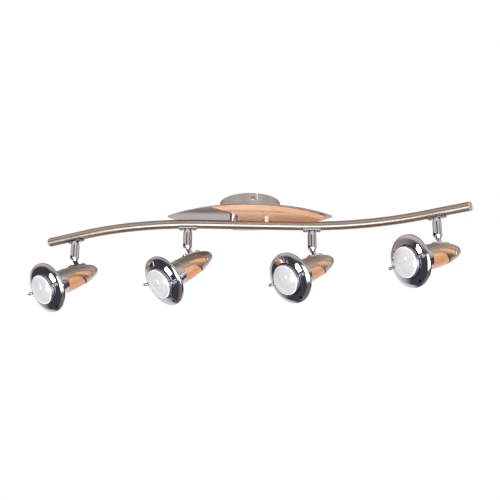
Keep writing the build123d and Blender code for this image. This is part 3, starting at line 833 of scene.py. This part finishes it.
@dataclass
class Body:
    """The bullet-shaped shell and the wood in its windows; in millimetres back from the lamp's shoulder."""

    finishes: Finishes
    aim: Aim
    front: float = 44.0
    length: float = 77.0
    radius: float = 19.3
    skin: float = 1.0
    seat: float = 0.1
    slit: float = 2.2
    # The upper window's two ends, and heights over the axis along the windows' edges
    strip: tuple[float, float] = (57.0, 99.0)
    strip_top: Points = ((57.0, 7.2), (80.0, 4.6), (99.0, -0.6))
    strip_bottom: Points = ((57.0, 7.2), (79.0, -1.2), (99.0, -7.6))
    lower_edge: Points = ((44.0, 1.8), (63.0, 0.2), (81.0, -9.5), (89.0, -17.5))
    # The lower window closes this far before its edge's last point
    lower_close: float = 3.0
    # The skin's rows: to the strip, to where the lower window closes, over that, behind it, at the tip
    closing: tuple[float, float] = (80.0, 88.5)
    skin_rows: tuple[int, ...] = (12, 30, 44, 16)
    tip_rows: int = 18
    top_columns: int = 40
    band_columns: int = 16
    rear_columns: int = 8
    # How far the wood goes under the skin, as angles in radians and as lengths
    lower_tuck: float = 0.12
    lower_tuck_end: float = 8.0
    lower_tuck_run: float = 10.0
    lower_grid: tuple[int, int] = (70, 60)
    strip_tuck: float = 0.06
    strip_lead: float = 4.0
    strip_grid: tuple[int, int] = (60, 12)
    # A dark sheet of painted shade under the wood, which shows in the slits: how far it runs past the upper
    # window, and its grid
    shade_sheet_past: float = 3.0
    shade_sheet_grid: tuple[int, int] = (40, 64)
    wood_wall: float = 1.6

    def curve(self, station: Array, shrink: float) -> Array:
        """Return the half ellipse's radius at stations, shrunk by a skin."""
        share = (station - self.front) / (self.length - shrink)
        return (self.radius - shrink) * np.sqrt(np.clip(1 - share**2, 0, 1))

    def edge(self, points: Points, station: Array, shrink: float) -> Array:
        """Give a window's edge as an angle over the side.

        Args:
            points: stations and heights that the edge's polynomial passes through.
            station: where it is wanted.
            shrink: the skin between the body and the surface in question.

        Returns:
            Angles in radians, from the side upwards, whose sine is the height over the radius.
        """
        place = np.array(points)
        height = np.polyval(np.polyfit(place[:, 0], place[:, 1], len(place) - 1), station)
        radius = np.maximum(self.curve(station, shrink), LEAST_RADIUS)
        return np.arcsin(np.clip(height / radius, -1, 1))

    def patch(
        self, station: Array, low: Array, high: Array, columns: int, shrink: float = 0.0, finish: int = 0
    ) -> Patch:
        """Lay a grid on the body between two edges: x = r cos e, y = -r sin e, z = station.

        Args:
            station: the rows' stations.
            low: each row's first angle.
            high: each row's last angle.
            columns: points across.
            shrink: the skin under the body's outside.
            finish: the finish's number.

        Returns:
            The patch.
        """
        angle = low[:, None] + (high - low)[:, None] * np.linspace(0, 1, columns)
        radius = self.curve(station, shrink)[:, None]
        level = np.broadcast_to(station[:, None], angle.shape)
        points = np.stack([radius * np.cos(angle), -radius * np.sin(angle), level], axis=-1)
        surface = np.stack([level, self.radius * angle], axis=-1)
        return Patch(points, surface, finish).placed(self.aim.lamp_axis)

    def stations(self) -> Array:
        """Give the skin's rows: even runs, then a tip whose rows lie at even angles of the ellipse.

        Returns:
            The stations.
        """
        nose, rear = self.strip
        stops = (self.front, nose, *self.closing, rear)
        runs = [
            np.linspace(first, last, rows, endpoint=False)
            for first, last, rows in zip(stops, stops[1:], self.skin_rows)
        ]
        start = math.asin((rear - self.front) / self.length)
        tip = self.front + self.length * np.sin(np.linspace(start, math.pi / 2, self.tip_rows))
        tip[-1] = self.front + self.length
        return np.concatenate([*runs, tip])

    def wall(self, thing: bpy.types.Object, thickness: float) -> None:
        """Give an open surface a wall on its inside.

        Args:
            thing: the surface.
            thickness: the wall in millimetres.
        """
        wall = thing.modifiers.new("wall", "SOLIDIFY")
        wall.thickness = thickness * MM
        wall.offset = -1.0

    def shell(self) -> None:
        """Build the skin: a top, a band on each side between the windows, and a closed rear."""
        station = self.stations()
        held = np.clip(station, *self.strip)
        lower = self.edge(self.lower_edge, station, 0.0)
        closed = station > self.lower_edge[-1][0] - self.lower_close
        lower = np.where(closed, np.minimum(lower, -math.pi / 2), lower)
        top = self.edge(self.strip_top, held, 0.0)
        bottom = self.edge(self.strip_bottom, held, 0.0)
        behind = station >= self.strip[1]
        rear, rear_low, rear_high = station[behind], bottom[behind], top[behind]
        patches = [
            self.patch(station, top, math.pi - top, self.top_columns),
            self.patch(station, lower, bottom, self.band_columns),
            self.patch(station, math.pi - bottom, math.pi - lower, self.band_columns),
            self.patch(rear, rear_low, rear_high, self.rear_columns),
            self.patch(rear, math.pi - rear_high, math.pi - rear_low, self.rear_columns),
        ]
        node = self.aim.name("shell")
        finish = [self.finishes["satin_nickel_spun"]]
        skin = piece(node + "_skin", patches, self.aim.head, finish, (node,), shut=False)
        self.wall(skin, self.skin)

    def lower_inlay(self, shrink: float) -> Patch:
        """Give the lower window's wood: a grid from edge to edge under the body, cut short by a slit.

        Args:
            shrink: how far it lies under the body's outside.

        Returns:
            The inlay.
        """
        rows, columns = self.lower_grid
        last = self.lower_edge[-1][0] - self.slit
        station = np.linspace(self.front, last, rows)
        edge = self.edge(self.lower_edge, station + self.slit, shrink)
        share = np.clip((last - self.lower_tuck_end - station) / self.lower_tuck_run, 0, 1)
        high = edge + share * self.lower_tuck
        return self.patch(station, -math.pi - high, high, columns, shrink)

    def strip_inlays(self, shrink: float) -> list[Patch]:
        """Give the two upper windows' wood: a grid between the edges, cut short by a slit.

        Args:
            shrink: how far it lies under the body's outside.

        Returns:
            The two inlays.
        """
        rows, columns = self.strip_grid
        nose, rear = self.strip
        station = np.linspace(nose - self.strip_lead, rear - self.slit, rows)
        held = np.maximum(station, nose)
        high = self.edge(self.strip_top, held, shrink) + self.strip_tuck
        low = self.edge(self.strip_bottom, held, shrink) - self.strip_tuck
        return [
            self.patch(station, low, high, columns, shrink),
            self.patch(station, math.pi - high, math.pi - low, columns, shrink),
        ]

    def wood_core(self) -> None:
        """Build the inlays behind the windows, over a dark sheet of painted shade that goes all round and
        shows in the slits.
        """
        shrink = self.skin + self.seat
        rows, columns = self.shade_sheet_grid
        station = np.linspace(self.front, self.strip[1] + self.shade_sheet_past, rows)
        around = np.zeros_like(station)
        shade_sheet = self.patch(station, around, around + 2 * math.pi, columns, shrink + self.slit, finish=1)
        patches = [self.lower_inlay(shrink), *self.strip_inlays(shrink), shade_sheet]
        node = self.aim.name("wood_core")
        finish = [self.finishes["lacquered_beech_inlay"], self.finishes["painted_shade_black"]]
        core = piece(node + "_inlay", patches, self.aim.head, finish, (node,), shut=False)
        self.wall(core, self.wood_wall)

    def build(self) -> None:
        """Build the shell and the wood, and dress the knuckle on top."""
        self.shell()
        self.wood_core()
        self.finishes.dress(self.aim.name("knuckle"), "polished_chrome")
        self.finishes.dress(self.aim.name("plate_screws"), "polished_chrome")


@dataclass
class ReflectorLamp:
    """The lamp and its holder; sizes in millimetres, stations run back from the lamp's shoulder."""

    finishes: Finishes
    aim: Aim
    radius: float = 25.0
    face_radius: float = 22.8
    face: float = -1.0
    top: float = -7.5
    shoulder: float = 2.5
    dome_points: int = 24
    edge_points: int = 11
    # The shoulder's point from which the glass is silvered; before it, the shoulder carries the painted
    # highlight
    silver_from: int = 5
    widest_end: float = 9.0
    widest_round: float = 5.0
    # Behind the widest part: radius, station and rounding, down to the screw cap
    flank: Corners = (
        (18.6, 26.0, 5.0), (9.2, 44.0, 2.0), (6.9, 48.0, 0),
        (6.9, 73.0, 0.5), (3.5, 75.0, 0.5), (0, 75.0, 0),
    )
    sharp: float = 25.0

    def dome(self) -> Array:
        """Give the dome's profile: a sphere through the top and the face's rim, R = (r r + h h) / 2 h.

        Returns:
            The profile's points.
        """
        height = self.face - self.top
        sphere = (self.face_radius**2 + height**2) / (2 * height)
        angle = np.linspace(0, math.asin(self.face_radius / sphere), self.dome_points)
        return np.stack([sphere * np.sin(angle), self.top + sphere * (1 - np.cos(angle))], axis=1)

    def edge(self) -> Array:
        """Give the shoulder's profile: a quarter of an ellipse from the face's rim to the flank.

        Returns:
            The profile's points.
        """
        angle = np.linspace(0, np.pi / 2, self.edge_points)
        across = self.face_radius + (self.radius - self.face_radius) * np.sin(angle)
        back = self.face + (self.shoulder - self.face) * (1 - np.cos(angle))
        return np.stack([across, back], axis=1)

    def build(self) -> None:
        """Build the lamp as a turned profile: dome, shoulder with a painted highlight, silvered flank. Dress
        its holder.
        """
        edge = self.edge()
        widest = (self.radius, self.shoulder, 0), (self.radius, self.widest_end, self.widest_round)
        flank = rounded((*widest, *self.flank))
        silvered = np.concatenate([edge[self.silver_from:], flank[1:]])
        profiles = (self.dome(), edge[:self.silver_from + 1], silvered)
        patches = [lathe(profile, finish=number) for number, profile in enumerate(profiles)]
        patches = [patch.placed(self.aim.lamp_axis) for patch in patches]
        names = ("frosted_glass_dome", "glass_shoulder_painted_highlight", "silvered_glass")
        finish = [self.finishes[name] for name in names]
        node = self.aim.name("bulb")
        piece(node + "_blown", patches, self.aim.head, finish, (node,), sharp=self.sharp)
        self.finishes.dress(self.aim.name("lamp_holder"), "holder_phenolic")


@dataclass
class Collar:
    """The cup, the front ring and its thumb screws; millimetres from the lamp's shoulder, and degrees."""

    finishes: Finishes
    aim: Aim
    lamp_radius: float
    roll: float = 0.0
    # Radius, station and rounding along the cup's outside
    cup_face: Corners = (
        (10.5, 44.0, 0), (20.0, 44.0, 0.7), (20.0, 36.5, 0.3), (21.5, 36.5, 0.6),
        (21.5, 27.0, 5.0), (27.6, 10.8, 2.0), (30.0, 10.8, 0),
    )
    cup_sheet: float = 1.2
    cup_steps: int = 8
    # The ring
    inner: float = 26.6
    outer: float = 42.0
    station: float = 6.2
    fall: float = 4.8
    cone: float = 0.19
    curl_start: float = 0.55
    rear: float = 14.0
    seat: float = 9.6
    sheet: float = 1.1
    neck_inset: float = 1.6
    neck_round: float = 0.8
    rim_inset: float = 1.2
    rim_round: float = 1.0
    face_points: int = 26
    segments: int = 144
    sharp: float = 50.0
    # Where the ring's face mirrors the light
    glint_angle: float = -22.0
    glint_radius: float = 31.5
    # The ring's hole and the disc of painted shade in it
    hole_angle: float = 72.0
    hole_place: float = 35.8
    hole_radius: float = 2.2
    hole_reach: float = 10.0
    hole_segments: int = 24
    plug_lap: float = 0.3
    plug_stand: float = 0.06
    plug_depth: float = 0.4
    # The lugs
    lug_radius: float = 31.5
    lug_half_width: float = 2.5
    lug_half_depth: float = 1.2
    lug_power: float = 0.4
    lug_points: int = 33
    lug_foot: float = 0.7
    lug_front: float = 2.0
    # A lug's rows near its front: the way back from it and the share of the full section
    lug_crown: Points = ((1.2, 1.0), (0.4, 0.9), (0.0, 0.55), (0.0, 0.0))
    # The thumb screws
    screw_station: float = 2.5
    screw_gap: float = 0.3
    screw_segments: int = 32
    shank_radius: float = 1.2
    thread_inset: float = 0.4
    thread_depth: float = 0.08
    thread_pitch: float = 0.9
    thread_points: int = 80
    knob_start: float = 34.5
    knob_length: float = 5.4
    knob_radius: float = 2.6
    knob_rounds: tuple[float, float] = (0.6, 1.0)

    def __post_init__(self) -> None:
        """Work out the ring's place about the lamp."""
        self.place = self.aim.lamp_axis @ turn(Axis.Z, self.roll)

    def cup(self) -> None:
        """Build the spun cup: a sheet's section turned about the lamp's axis."""
        face = rounded(self.cup_face, self.cup_steps)
        patch = lathe(sheet_section(face, -self.cup_sheet)).placed(self.aim.lamp_axis)
        node = self.aim.name("cup")
        piece(node + "_spun", [patch], self.aim.head, [self.finishes["polished_chrome"]], (node,))

    def face(self, radius: Array) -> Array:
        """Give the ring's stations: an even cone, plus a curl that grows with the square past its start.

        Args:
            radius: distances from the lamp's axis.

        Returns:
            The stations.
        """
        width = self.outer - self.inner
        share = (radius - self.inner) / width
        curl = np.clip((share - self.curl_start) / (1 - self.curl_start), 0, None)
        cone = self.cone * width
        return self.station + cone * share + (self.fall - cone) * curl**2

    def mirror(self) -> tuple[Array, Array]:
        """Give the point of the ring's cone that mirrors the light.

        Returns:
            The point in metres and the normal there.
        """
        angle, slope = math.radians(self.glint_angle), math.atan(self.cone)
        outward = np.array([math.cos(angle), math.sin(angle), 0.0])
        local = self.glint_radius * outward
        local[2] = self.face(np.array(self.glint_radius))
        normal = math.sin(slope) * outward - np.array([0.0, 0.0, math.cos(slope)])
        matrix = self.aim.lamp_axis
        return (matrix[:3, :3] @ local + matrix[:3, 3]) * MM, matrix[:3, :3] @ normal

    def ring(self) -> None:
        """Build the front ring: neck, face and rim as one sheet's section, turned about the lamp's axis."""
        middle = np.linspace(self.inner + self.neck_inset, self.outer - self.rim_inset, self.face_points)
        face = np.stack([middle, self.face(middle)], axis=1)
        rim = self.station + self.fall
        neck = rounded((
            (self.inner, self.seat, 0), (self.inner, self.station, self.neck_round), (*face[0], 0),
        ))
        edge = rounded(((*face[-1], 0), (self.outer, rim, self.rim_round), (self.outer, self.rear, 0)))
        profile = np.concatenate([neck[:-1], face, edge[1:]])
        patch = lathe(sheet_section(profile, self.sheet), self.segments).placed(self.place)
        node = self.aim.name("ring")
        finish = [self.finishes["polished_chrome"]]
        ring = piece(node + "_spun", [patch], self.aim.head, finish, (node,), sharp=self.sharp)
        self.drill(ring)
        self.hole_shade()

    def drill(self, ring: bpy.types.Object) -> None:
        """Cut the ring's small hole with a cylinder along the lamp's axis.

        Args:
            ring: the ring.
        """
        radius, reach = self.hole_radius, self.hole_reach
        profile = np.array([(0, -reach), (radius, -reach), (radius, reach), (0, reach)])
        middle = turn(Axis.Z, self.hole_angle) @ shift(self.hole_place, 0, self.station)
        tool = solid("drill", [lathe(profile, self.hole_segments).placed(self.place @ middle)])
        cut = ring.modifiers.new("hole", "BOOLEAN")
        cut.operation = "DIFFERENCE"
        cut.object = tool
        made = ring.evaluated_get(bpy.context.evaluated_depsgraph_get())
        mesh = bpy.data.meshes.new_from_object(made)
        mesh.set_sharp_from_angle(angle=math.radians(self.sharp))
        ring.modifiers.clear()
        ring.data = mesh
        bpy.data.objects.remove(tool)

    def hole_shade(self) -> None:
        """Fill the hole with a dark disc of painted shade that leans as the ring's face does, so that the
        hole reads as deep.
        """
        wide, front, back = self.hole_radius + self.plug_lap, -self.plug_stand, self.plug_depth
        near, far = self.face(self.hole_place + wide * np.array([-1.0, 1.0]))
        lean = math.degrees(math.atan2(far - near, 2 * wide))
        profile = np.array([(0, front), (wide, front), (wide, back), (0, back)])
        middle = turn(Axis.Z, self.hole_angle) @ shift(self.hole_place, 0, (near + far) / 2)
        disc = lathe(profile, self.hole_segments).placed(self.place @ middle @ turn(Axis.Y, -lean))
        finish = [self.finishes["painted_shade_black"]]
        piece(self.aim.name("ring") + "_hole_shade", [disc], self.aim.head, finish, ())

    def lug(self) -> Patch:
        """Give a lug: a bar with a rounded square section, whose x and y are powers of cos and sin.

        Returns:
            The lug, closed by a point at both ends.
        """
        angle = np.linspace(0, 2 * np.pi, self.lug_points)
        deep, across = (
            np.sign(wave) * np.abs(wave) ** self.lug_power for wave in (np.cos(angle), np.sin(angle))
        )
        back, crown = self.face(np.array(self.lug_radius)) + self.lug_foot, np.array(self.lug_crown)
        level = np.concatenate([[back, back], self.screw_station - self.lug_front + crown[:, 0]])[:, None]
        scale = np.concatenate([[0.0, 1.0], crown[:, 1]])[:, None]
        x = self.lug_radius + self.lug_half_depth * scale * deep
        y = self.lug_half_width * scale * across
        return Patch(np.stack(np.broadcast_arrays(x, y, level), axis=-1))

    def screw(self) -> Patch:
        """Give a thumb screw, turned about its axis: a shank waved as a thread, and a round knob.

        Returns:
            The screw along Z, from the lamp outwards.
        """
        start, end = self.lamp_radius + self.thread_inset, self.knob_start - self.thread_inset
        thread = np.linspace(start, end, self.thread_points)
        wave = self.thread_depth * np.sin(thread * 2 * np.pi / self.thread_pitch)
        shank = np.stack([self.shank_radius + wave, thread], axis=1)
        tip = self.knob_start + self.knob_length
        inside, outside = self.knob_rounds
        knob = rounded((
            (self.shank_radius, self.knob_start, 0),
            (self.knob_radius, self.knob_start, inside),
            (self.knob_radius, tip, outside),
            (0, tip, 0),
        ))
        profile = np.concatenate([[(0, self.lamp_radius + self.screw_gap)], shank, knob])
        return lathe(profile, self.screw_segments)

    def thumb_screws(self) -> None:
        """Build the two lugs and the two thumb screws in them, across the ring."""
        sides = [self.place @ turn(Axis.Z, side) for side in (0, 180)]
        across = shift(0, 0, self.screw_station) @ turn(Axis.Y, 90)
        patches = [self.lug().placed(side) for side in sides]
        patches += [self.screw().placed(side @ across) for side in sides]
        node = self.aim.name("thumb_screws")
        finish = [self.finishes["polished_chrome"]]
        piece(node + "_turned", patches, self.aim.head, finish, (node,))

    def build(self) -> None:
        """Build the cup, the ring and the thumb screws."""
        self.cup()
        self.ring()
        self.thumb_screws()


@dataclass
class Spot:
    """One spot: a stem, and on it a body, a collar and a lamp about one aim."""

    finishes: Finishes
    number: int
    roll: float

    def __post_init__(self) -> None:
        """Set up the parts."""
        self.aim = Aim(self.number)
        self.stem = Stem(self.finishes, self.aim)
        self.body = Body(self.finishes, self.aim)
        self.lamp = ReflectorLamp(self.finishes, self.aim)
        self.collar = Collar(self.finishes, self.aim, self.lamp.radius, self.roll)

    def build(self) -> None:
        """Build the parts in order."""
        for part in (self.stem, self.body, self.collar, self.lamp):
            part.build()


@dataclass(frozen=True)
class AreaLamp:
    """A rectangular lamp; sizes in metres, power in watts."""

    name: str
    place: Triple
    size: tuple[float, float]
    power: float


@dataclass
class Studio:
    """The floor, lamps, surroundings and camera; sizes in metres, powers in watts, angles in degrees."""

    floor_level: float = -1.3
    floor_radius: float = 3.0
    floor_segments: int = 64
    paper_colour: str = "#f6f6f6"
    leaf_level: float = -0.0221
    aim_level: float = -0.08
    camera_distance: float = 1.6
    camera_below: float = 21.0
    camera_pitch: float = 19.02
    focal_px: float = 963.4
    frame_px: float = 500.0
    sensor_mm: float = 36.0
    softboxes: tuple[AreaLamp, ...] = (
        AreaLamp("softbox_left", (-2.1, -0.1, -0.72), (0.5, 0.6), 14.0),
        AreaLamp("softbox_front", (0.1, -1.7, -0.6), (1.6, 0.7), 21.5),
        AreaLamp("softbox_top", (0.6, -1.2, 1.3), (1.2, 0.8), 10.0),
    )
    # Small lamps that only gloss mirrors, one for each ring
    card_distance: float = 0.15
    card_size: tuple[float, float] = (0.012, 0.034)
    card_power: float = 0.0003
    card_beam: float = 28.0
    # What the camera sees behind the object, and the even light on it
    white: str = "#ffffff"
    ambient: str = "#b4b4b4"
    # A white table in front of the bar, which only gloss mirrors, and its spans in height and width
    table_colour: str = "#eef6ff"
    table_strength: float = 4.6
    table_level: Stops = ((-0.8, "#000000"), (-0.7, "#ffffff"), (-0.27, "#ffffff"), (-0.17, "#000000"))
    table_side: Stops = ((-0.72, "#000000"), (-0.62, "#ffffff"), (0.85, "#ffffff"), (0.95, "#000000"))
    # The room that gloss mirrors, from straight down to straight up: in front, at the sides, behind
    front: Stops = (
        (-1.0, "#8a8078"), (-0.9, "#8f867f"), (-0.72, "#6a6460"), (-0.5, "#565254"), (-0.15, "#5c585a"),
        (0.0, "#a8a29e"), (0.2, "#d0cac5"), (0.45, "#efebe7"), (0.85, "#efebe7"), (1.0, "#8d857f"),
    )
    side: Stops = (
        (-1.0, "#7d746c"), (-0.88, "#8f867f"), (-0.74, "#4c4650"), (-0.4, "#4b4753"), (0.0, "#4a4651"),
        (0.12, "#9d9692"), (0.3, "#e6dcd4"), (0.65, "#e0d8d2"), (1.0, "#857d77"),
    )
    back: Stops = (
        (-1.0, "#8a837c"), (-0.7, "#6e6965"), (-0.58, "#dedcda"), (-0.5, "#f4f3f2"), (0.14, "#f4f3f2"),
        (0.26, "#8f8984"), (0.5, "#8a847f"), (0.75, "#bdb8b4"), (1.0, "#857d77"),
    )
    # How much of the front and of the back there is, from the front to the back
    to_front: Stops = ((-0.5, "#ffffff"), (-0.3, "#000000"))
    to_back: Stops = ((0.4, "#000000"), (0.6, "#ffffff"))
    # A band of the front wall, from left to right, pale with two dark openings, and its span in height
    walls: Stops = (
        (-1.0, "#c9c4c0"), (-0.55, "#dcd8d4"), (-0.42, "#3a373c"), (-0.12, "#3a373c"), (0.0, "#ece9e6"),
        (0.6, "#dcd8d4"), (0.75, "#4a4648"), (1.0, "#6f6a68"),
    )
    walls_level: Stops = ((0.24, "#000000"), (0.28, "#ffffff"), (0.42, "#ffffff"), (0.48, "#000000"))

    @property
    def viewpoint(self) -> Triple:
        """Work out where the camera stands.

        Returns:
            The place.
        """
        below = math.radians(self.camera_below)
        depth, drop = self.camera_distance * math.cos(below), self.camera_distance * math.sin(below)
        return 0.0, -depth, self.leaf_level - drop

    def paper(self) -> Material:
        """Make the floor's paper, smooth and uncoated: matt for the light, and evenly pale for the camera.

        Returns:
            The material.
        """
        material = bpy.data.materials.new("pale_matt_paper")
        material.use_nodes = True
        tree = material.node_tree
        tree.nodes.clear()
        matt = add_node(tree, "BsdfDiffuse", {"Color": self.paper_colour}).outputs[0]
        even = add_node(tree, "Emission", {"Color": self.paper_colour}).outputs[0]
        seen = add_node(tree, "LightPath").outputs["Is Camera Ray"]
        mix = add_node(tree, "MixShader", {0: seen, 1: matt, 2: even})
        add_node(tree, "OutputMaterial", {"Surface": mix.outputs[0]})
        return material

    def floor(self) -> None:
        """Lay a plain pale floor: a disc, turned from its rim to its middle."""
        profile = np.array([(self.floor_radius, self.floor_level), (0.0, self.floor_level)]) / MM
        disc = solid("floor", [lathe(profile, self.floor_segments)], shut=False)
        disc.data.materials.append(self.paper())
        disc.visible_glossy = False

    def hang(self, lamp: AreaLamp, target: Triple | Array) -> bpy.types.Object:
        """Hang a lamp that the camera doesn't see.

        Args:
            lamp: the lamp's name, place, size and power.
            target: the point that it faces.

        Returns:
            The lamp's object.
        """
        data = bpy.data.lights.new(lamp.name, "AREA")
        data.shape = "RECTANGLE"
        data.size, data.size_y = lamp.size
        data.energy = lamp.power
        thing = bpy.data.objects.new(lamp.name, data)
        thing.location = lamp.place
        thing.visible_camera = False
        aim = Vector(target) - Vector(lamp.place)
        thing.rotation_euler = aim.to_track_quat("-Z", "Y").to_euler()
        bpy.context.scene.collection.objects.link(thing)
        return thing

    def card(self, spot: Spot) -> None:
        """Hang a small lamp that a spot's ring mirrors to the camera: out = in - 2 (in . normal) normal.

        Args:
            spot: the spot.
        """
        place, normal = spot.collar.mirror()
        ray = place - np.array(self.viewpoint)
        ray /= np.linalg.norm(ray)
        hung = place + self.card_distance * (ray - 2 * (ray @ normal) * normal)
        lamp = AreaLamp(spot.aim.name("card"), tuple(hung), self.card_size, self.card_power)
        card = self.hang(lamp, place)
        card.data.spread = math.radians(self.card_beam)
        card.visible_diffuse = False

    def gradient(self, tree: Tree, value: Socket, stops: Stops) -> Socket:
        """Turn a direction's component into a colour.

        Args:
            tree: the node tree.
            value: the component, from -1 to 1.
            stops: components and hex colours in order.

        Returns:
            The colour's socket.
        """
        share = add_node(tree, "MapRange", {"Value": value, "From Min": -1.0, "From Max": 1.0})
        node = add_node(tree, "ValToRGB", {0: share.outputs["Result"]})
        elements = node.color_ramp.elements
        for element, (place, colour) in zip((elements[0], elements[1]), (stops[0], stops[-1])):
            element.position = (place + 1) / 2
            element.color = linear(colour)
        for place, colour in stops[1:-1]:
            elements.new((place + 1) / 2).color = linear(colour)
        return node.outputs["Color"]

    def surroundings(self) -> None:
        """Make the world: white to the camera and through glass, even grey as light, a room to gloss."""
        world = bpy.data.worlds.new("studio")
        bpy.context.scene.world = world
        world.use_nodes = True
        tree = world.node_tree
        tree.nodes.clear()
        path = add_node(tree, "LightPath").outputs
        place = add_node(tree, "TexCoord").outputs["Generated"]
        x, y, z = add_node(tree, "SeparateXYZ", {0: place}).outputs
        forward, backward = self.gradient(tree, y, self.to_front), self.gradient(tree, y, self.to_back)
        # The table is where all three gradients are white
        table = self.gradient(tree, z, self.table_level)
        for factor in (self.gradient(tree, x, self.table_side), forward):
            table = add_node(tree, "Math", {0: table, 1: factor}, operation="MULTIPLY").outputs[0]
        # The room is laid in layers over its sides
        front = add_node(tree, "Mix", {
            SHARE: self.gradient(tree, z, self.walls_level),
            FIRST: self.gradient(tree, z, self.front),
            SECOND: self.gradient(tree, x, self.walls),
        }, data_type="RGBA").outputs[MIXED]
        gloss = self.gradient(tree, z, self.side)
        back = self.gradient(tree, z, self.back)
        for share, layer in ((forward, front), (backward, back), (table, self.table_colour)):
            mix = add_node(tree, "Mix", {SHARE: share, FIRST: gloss, SECOND: layer}, data_type="RGBA")
            gloss = mix.outputs[MIXED]
        # Gloss meets the room, other light is even, and what is seen is white
        shiny = path["Is Glossy Ray"]
        light = add_node(tree, "Mix", {SHARE: shiny, FIRST: self.ambient, SECOND: gloss}, data_type="RGBA")
        views = {0: path["Is Camera Ray"], 1: path["Is Transmission Ray"]}
        seen = add_node(tree, "Math", views, operation="ADD", use_clamp=True).outputs[0]
        colour = add_node(tree, "Mix", {
            SHARE: seen, FIRST: light.outputs[MIXED], SECOND: self.white,
        }, data_type="RGBA")
        shine = add_node(tree, "Math", {0: table, 1: shiny}, operation="MULTIPLY").outputs[0]
        lift = {0: shine, 1: self.table_strength - 1, 2: 1.0}
        strength = add_node(tree, "Math", lift, operation="MULTIPLY_ADD").outputs[0]
        sky = add_node(tree, "Background", {"Color": colour.outputs[MIXED], "Strength": strength})
        add_node(tree, "OutputWorld", {"Surface": sky.outputs["Background"]})

    def camera(self) -> None:
        """Stand the camera in front of the bar and below it, looking up."""
        data = bpy.data.cameras.new("camera")
        data.sensor_width = self.sensor_mm
        data.lens = self.focal_px / self.frame_px * self.sensor_mm
        thing = bpy.data.objects.new("camera", data)
        thing.location = self.viewpoint
        thing.rotation_euler = (math.radians(90 + self.camera_pitch), 0.0, 0.0)
        bpy.context.scene.collection.objects.link(thing)
        bpy.context.scene.camera = thing

    def build(self, spots: list[Spot]) -> None:
        """Set up the whole studio.

        Args:
            spots: the spots whose rings mirror a card.
        """
        bpy.context.scene.view_settings.view_transform = "Standard"
        self.floor()
        for lamp in self.softboxes:
            self.hang(lamp, (0.0, 0.0, self.aim_level)).visible_glossy = False
        for spot in spots:
            self.card(spot)
        self.surroundings()
        self.camera()


def main() -> None:
    """Build the fixture and its studio."""
    logging.basicConfig(level=logging.INFO, format="%(message)s")
    finishes = Finishes()
    CeilingMount(finishes).build()
    Bar(finishes).build()
    spots = [Spot(finishes, number, roll) for number, roll in enumerate(RING_ROLLS, start=1)]
    for spot in spots:
        spot.build()
    Studio().build(spots)


if __name__ == "__main__":
    main()
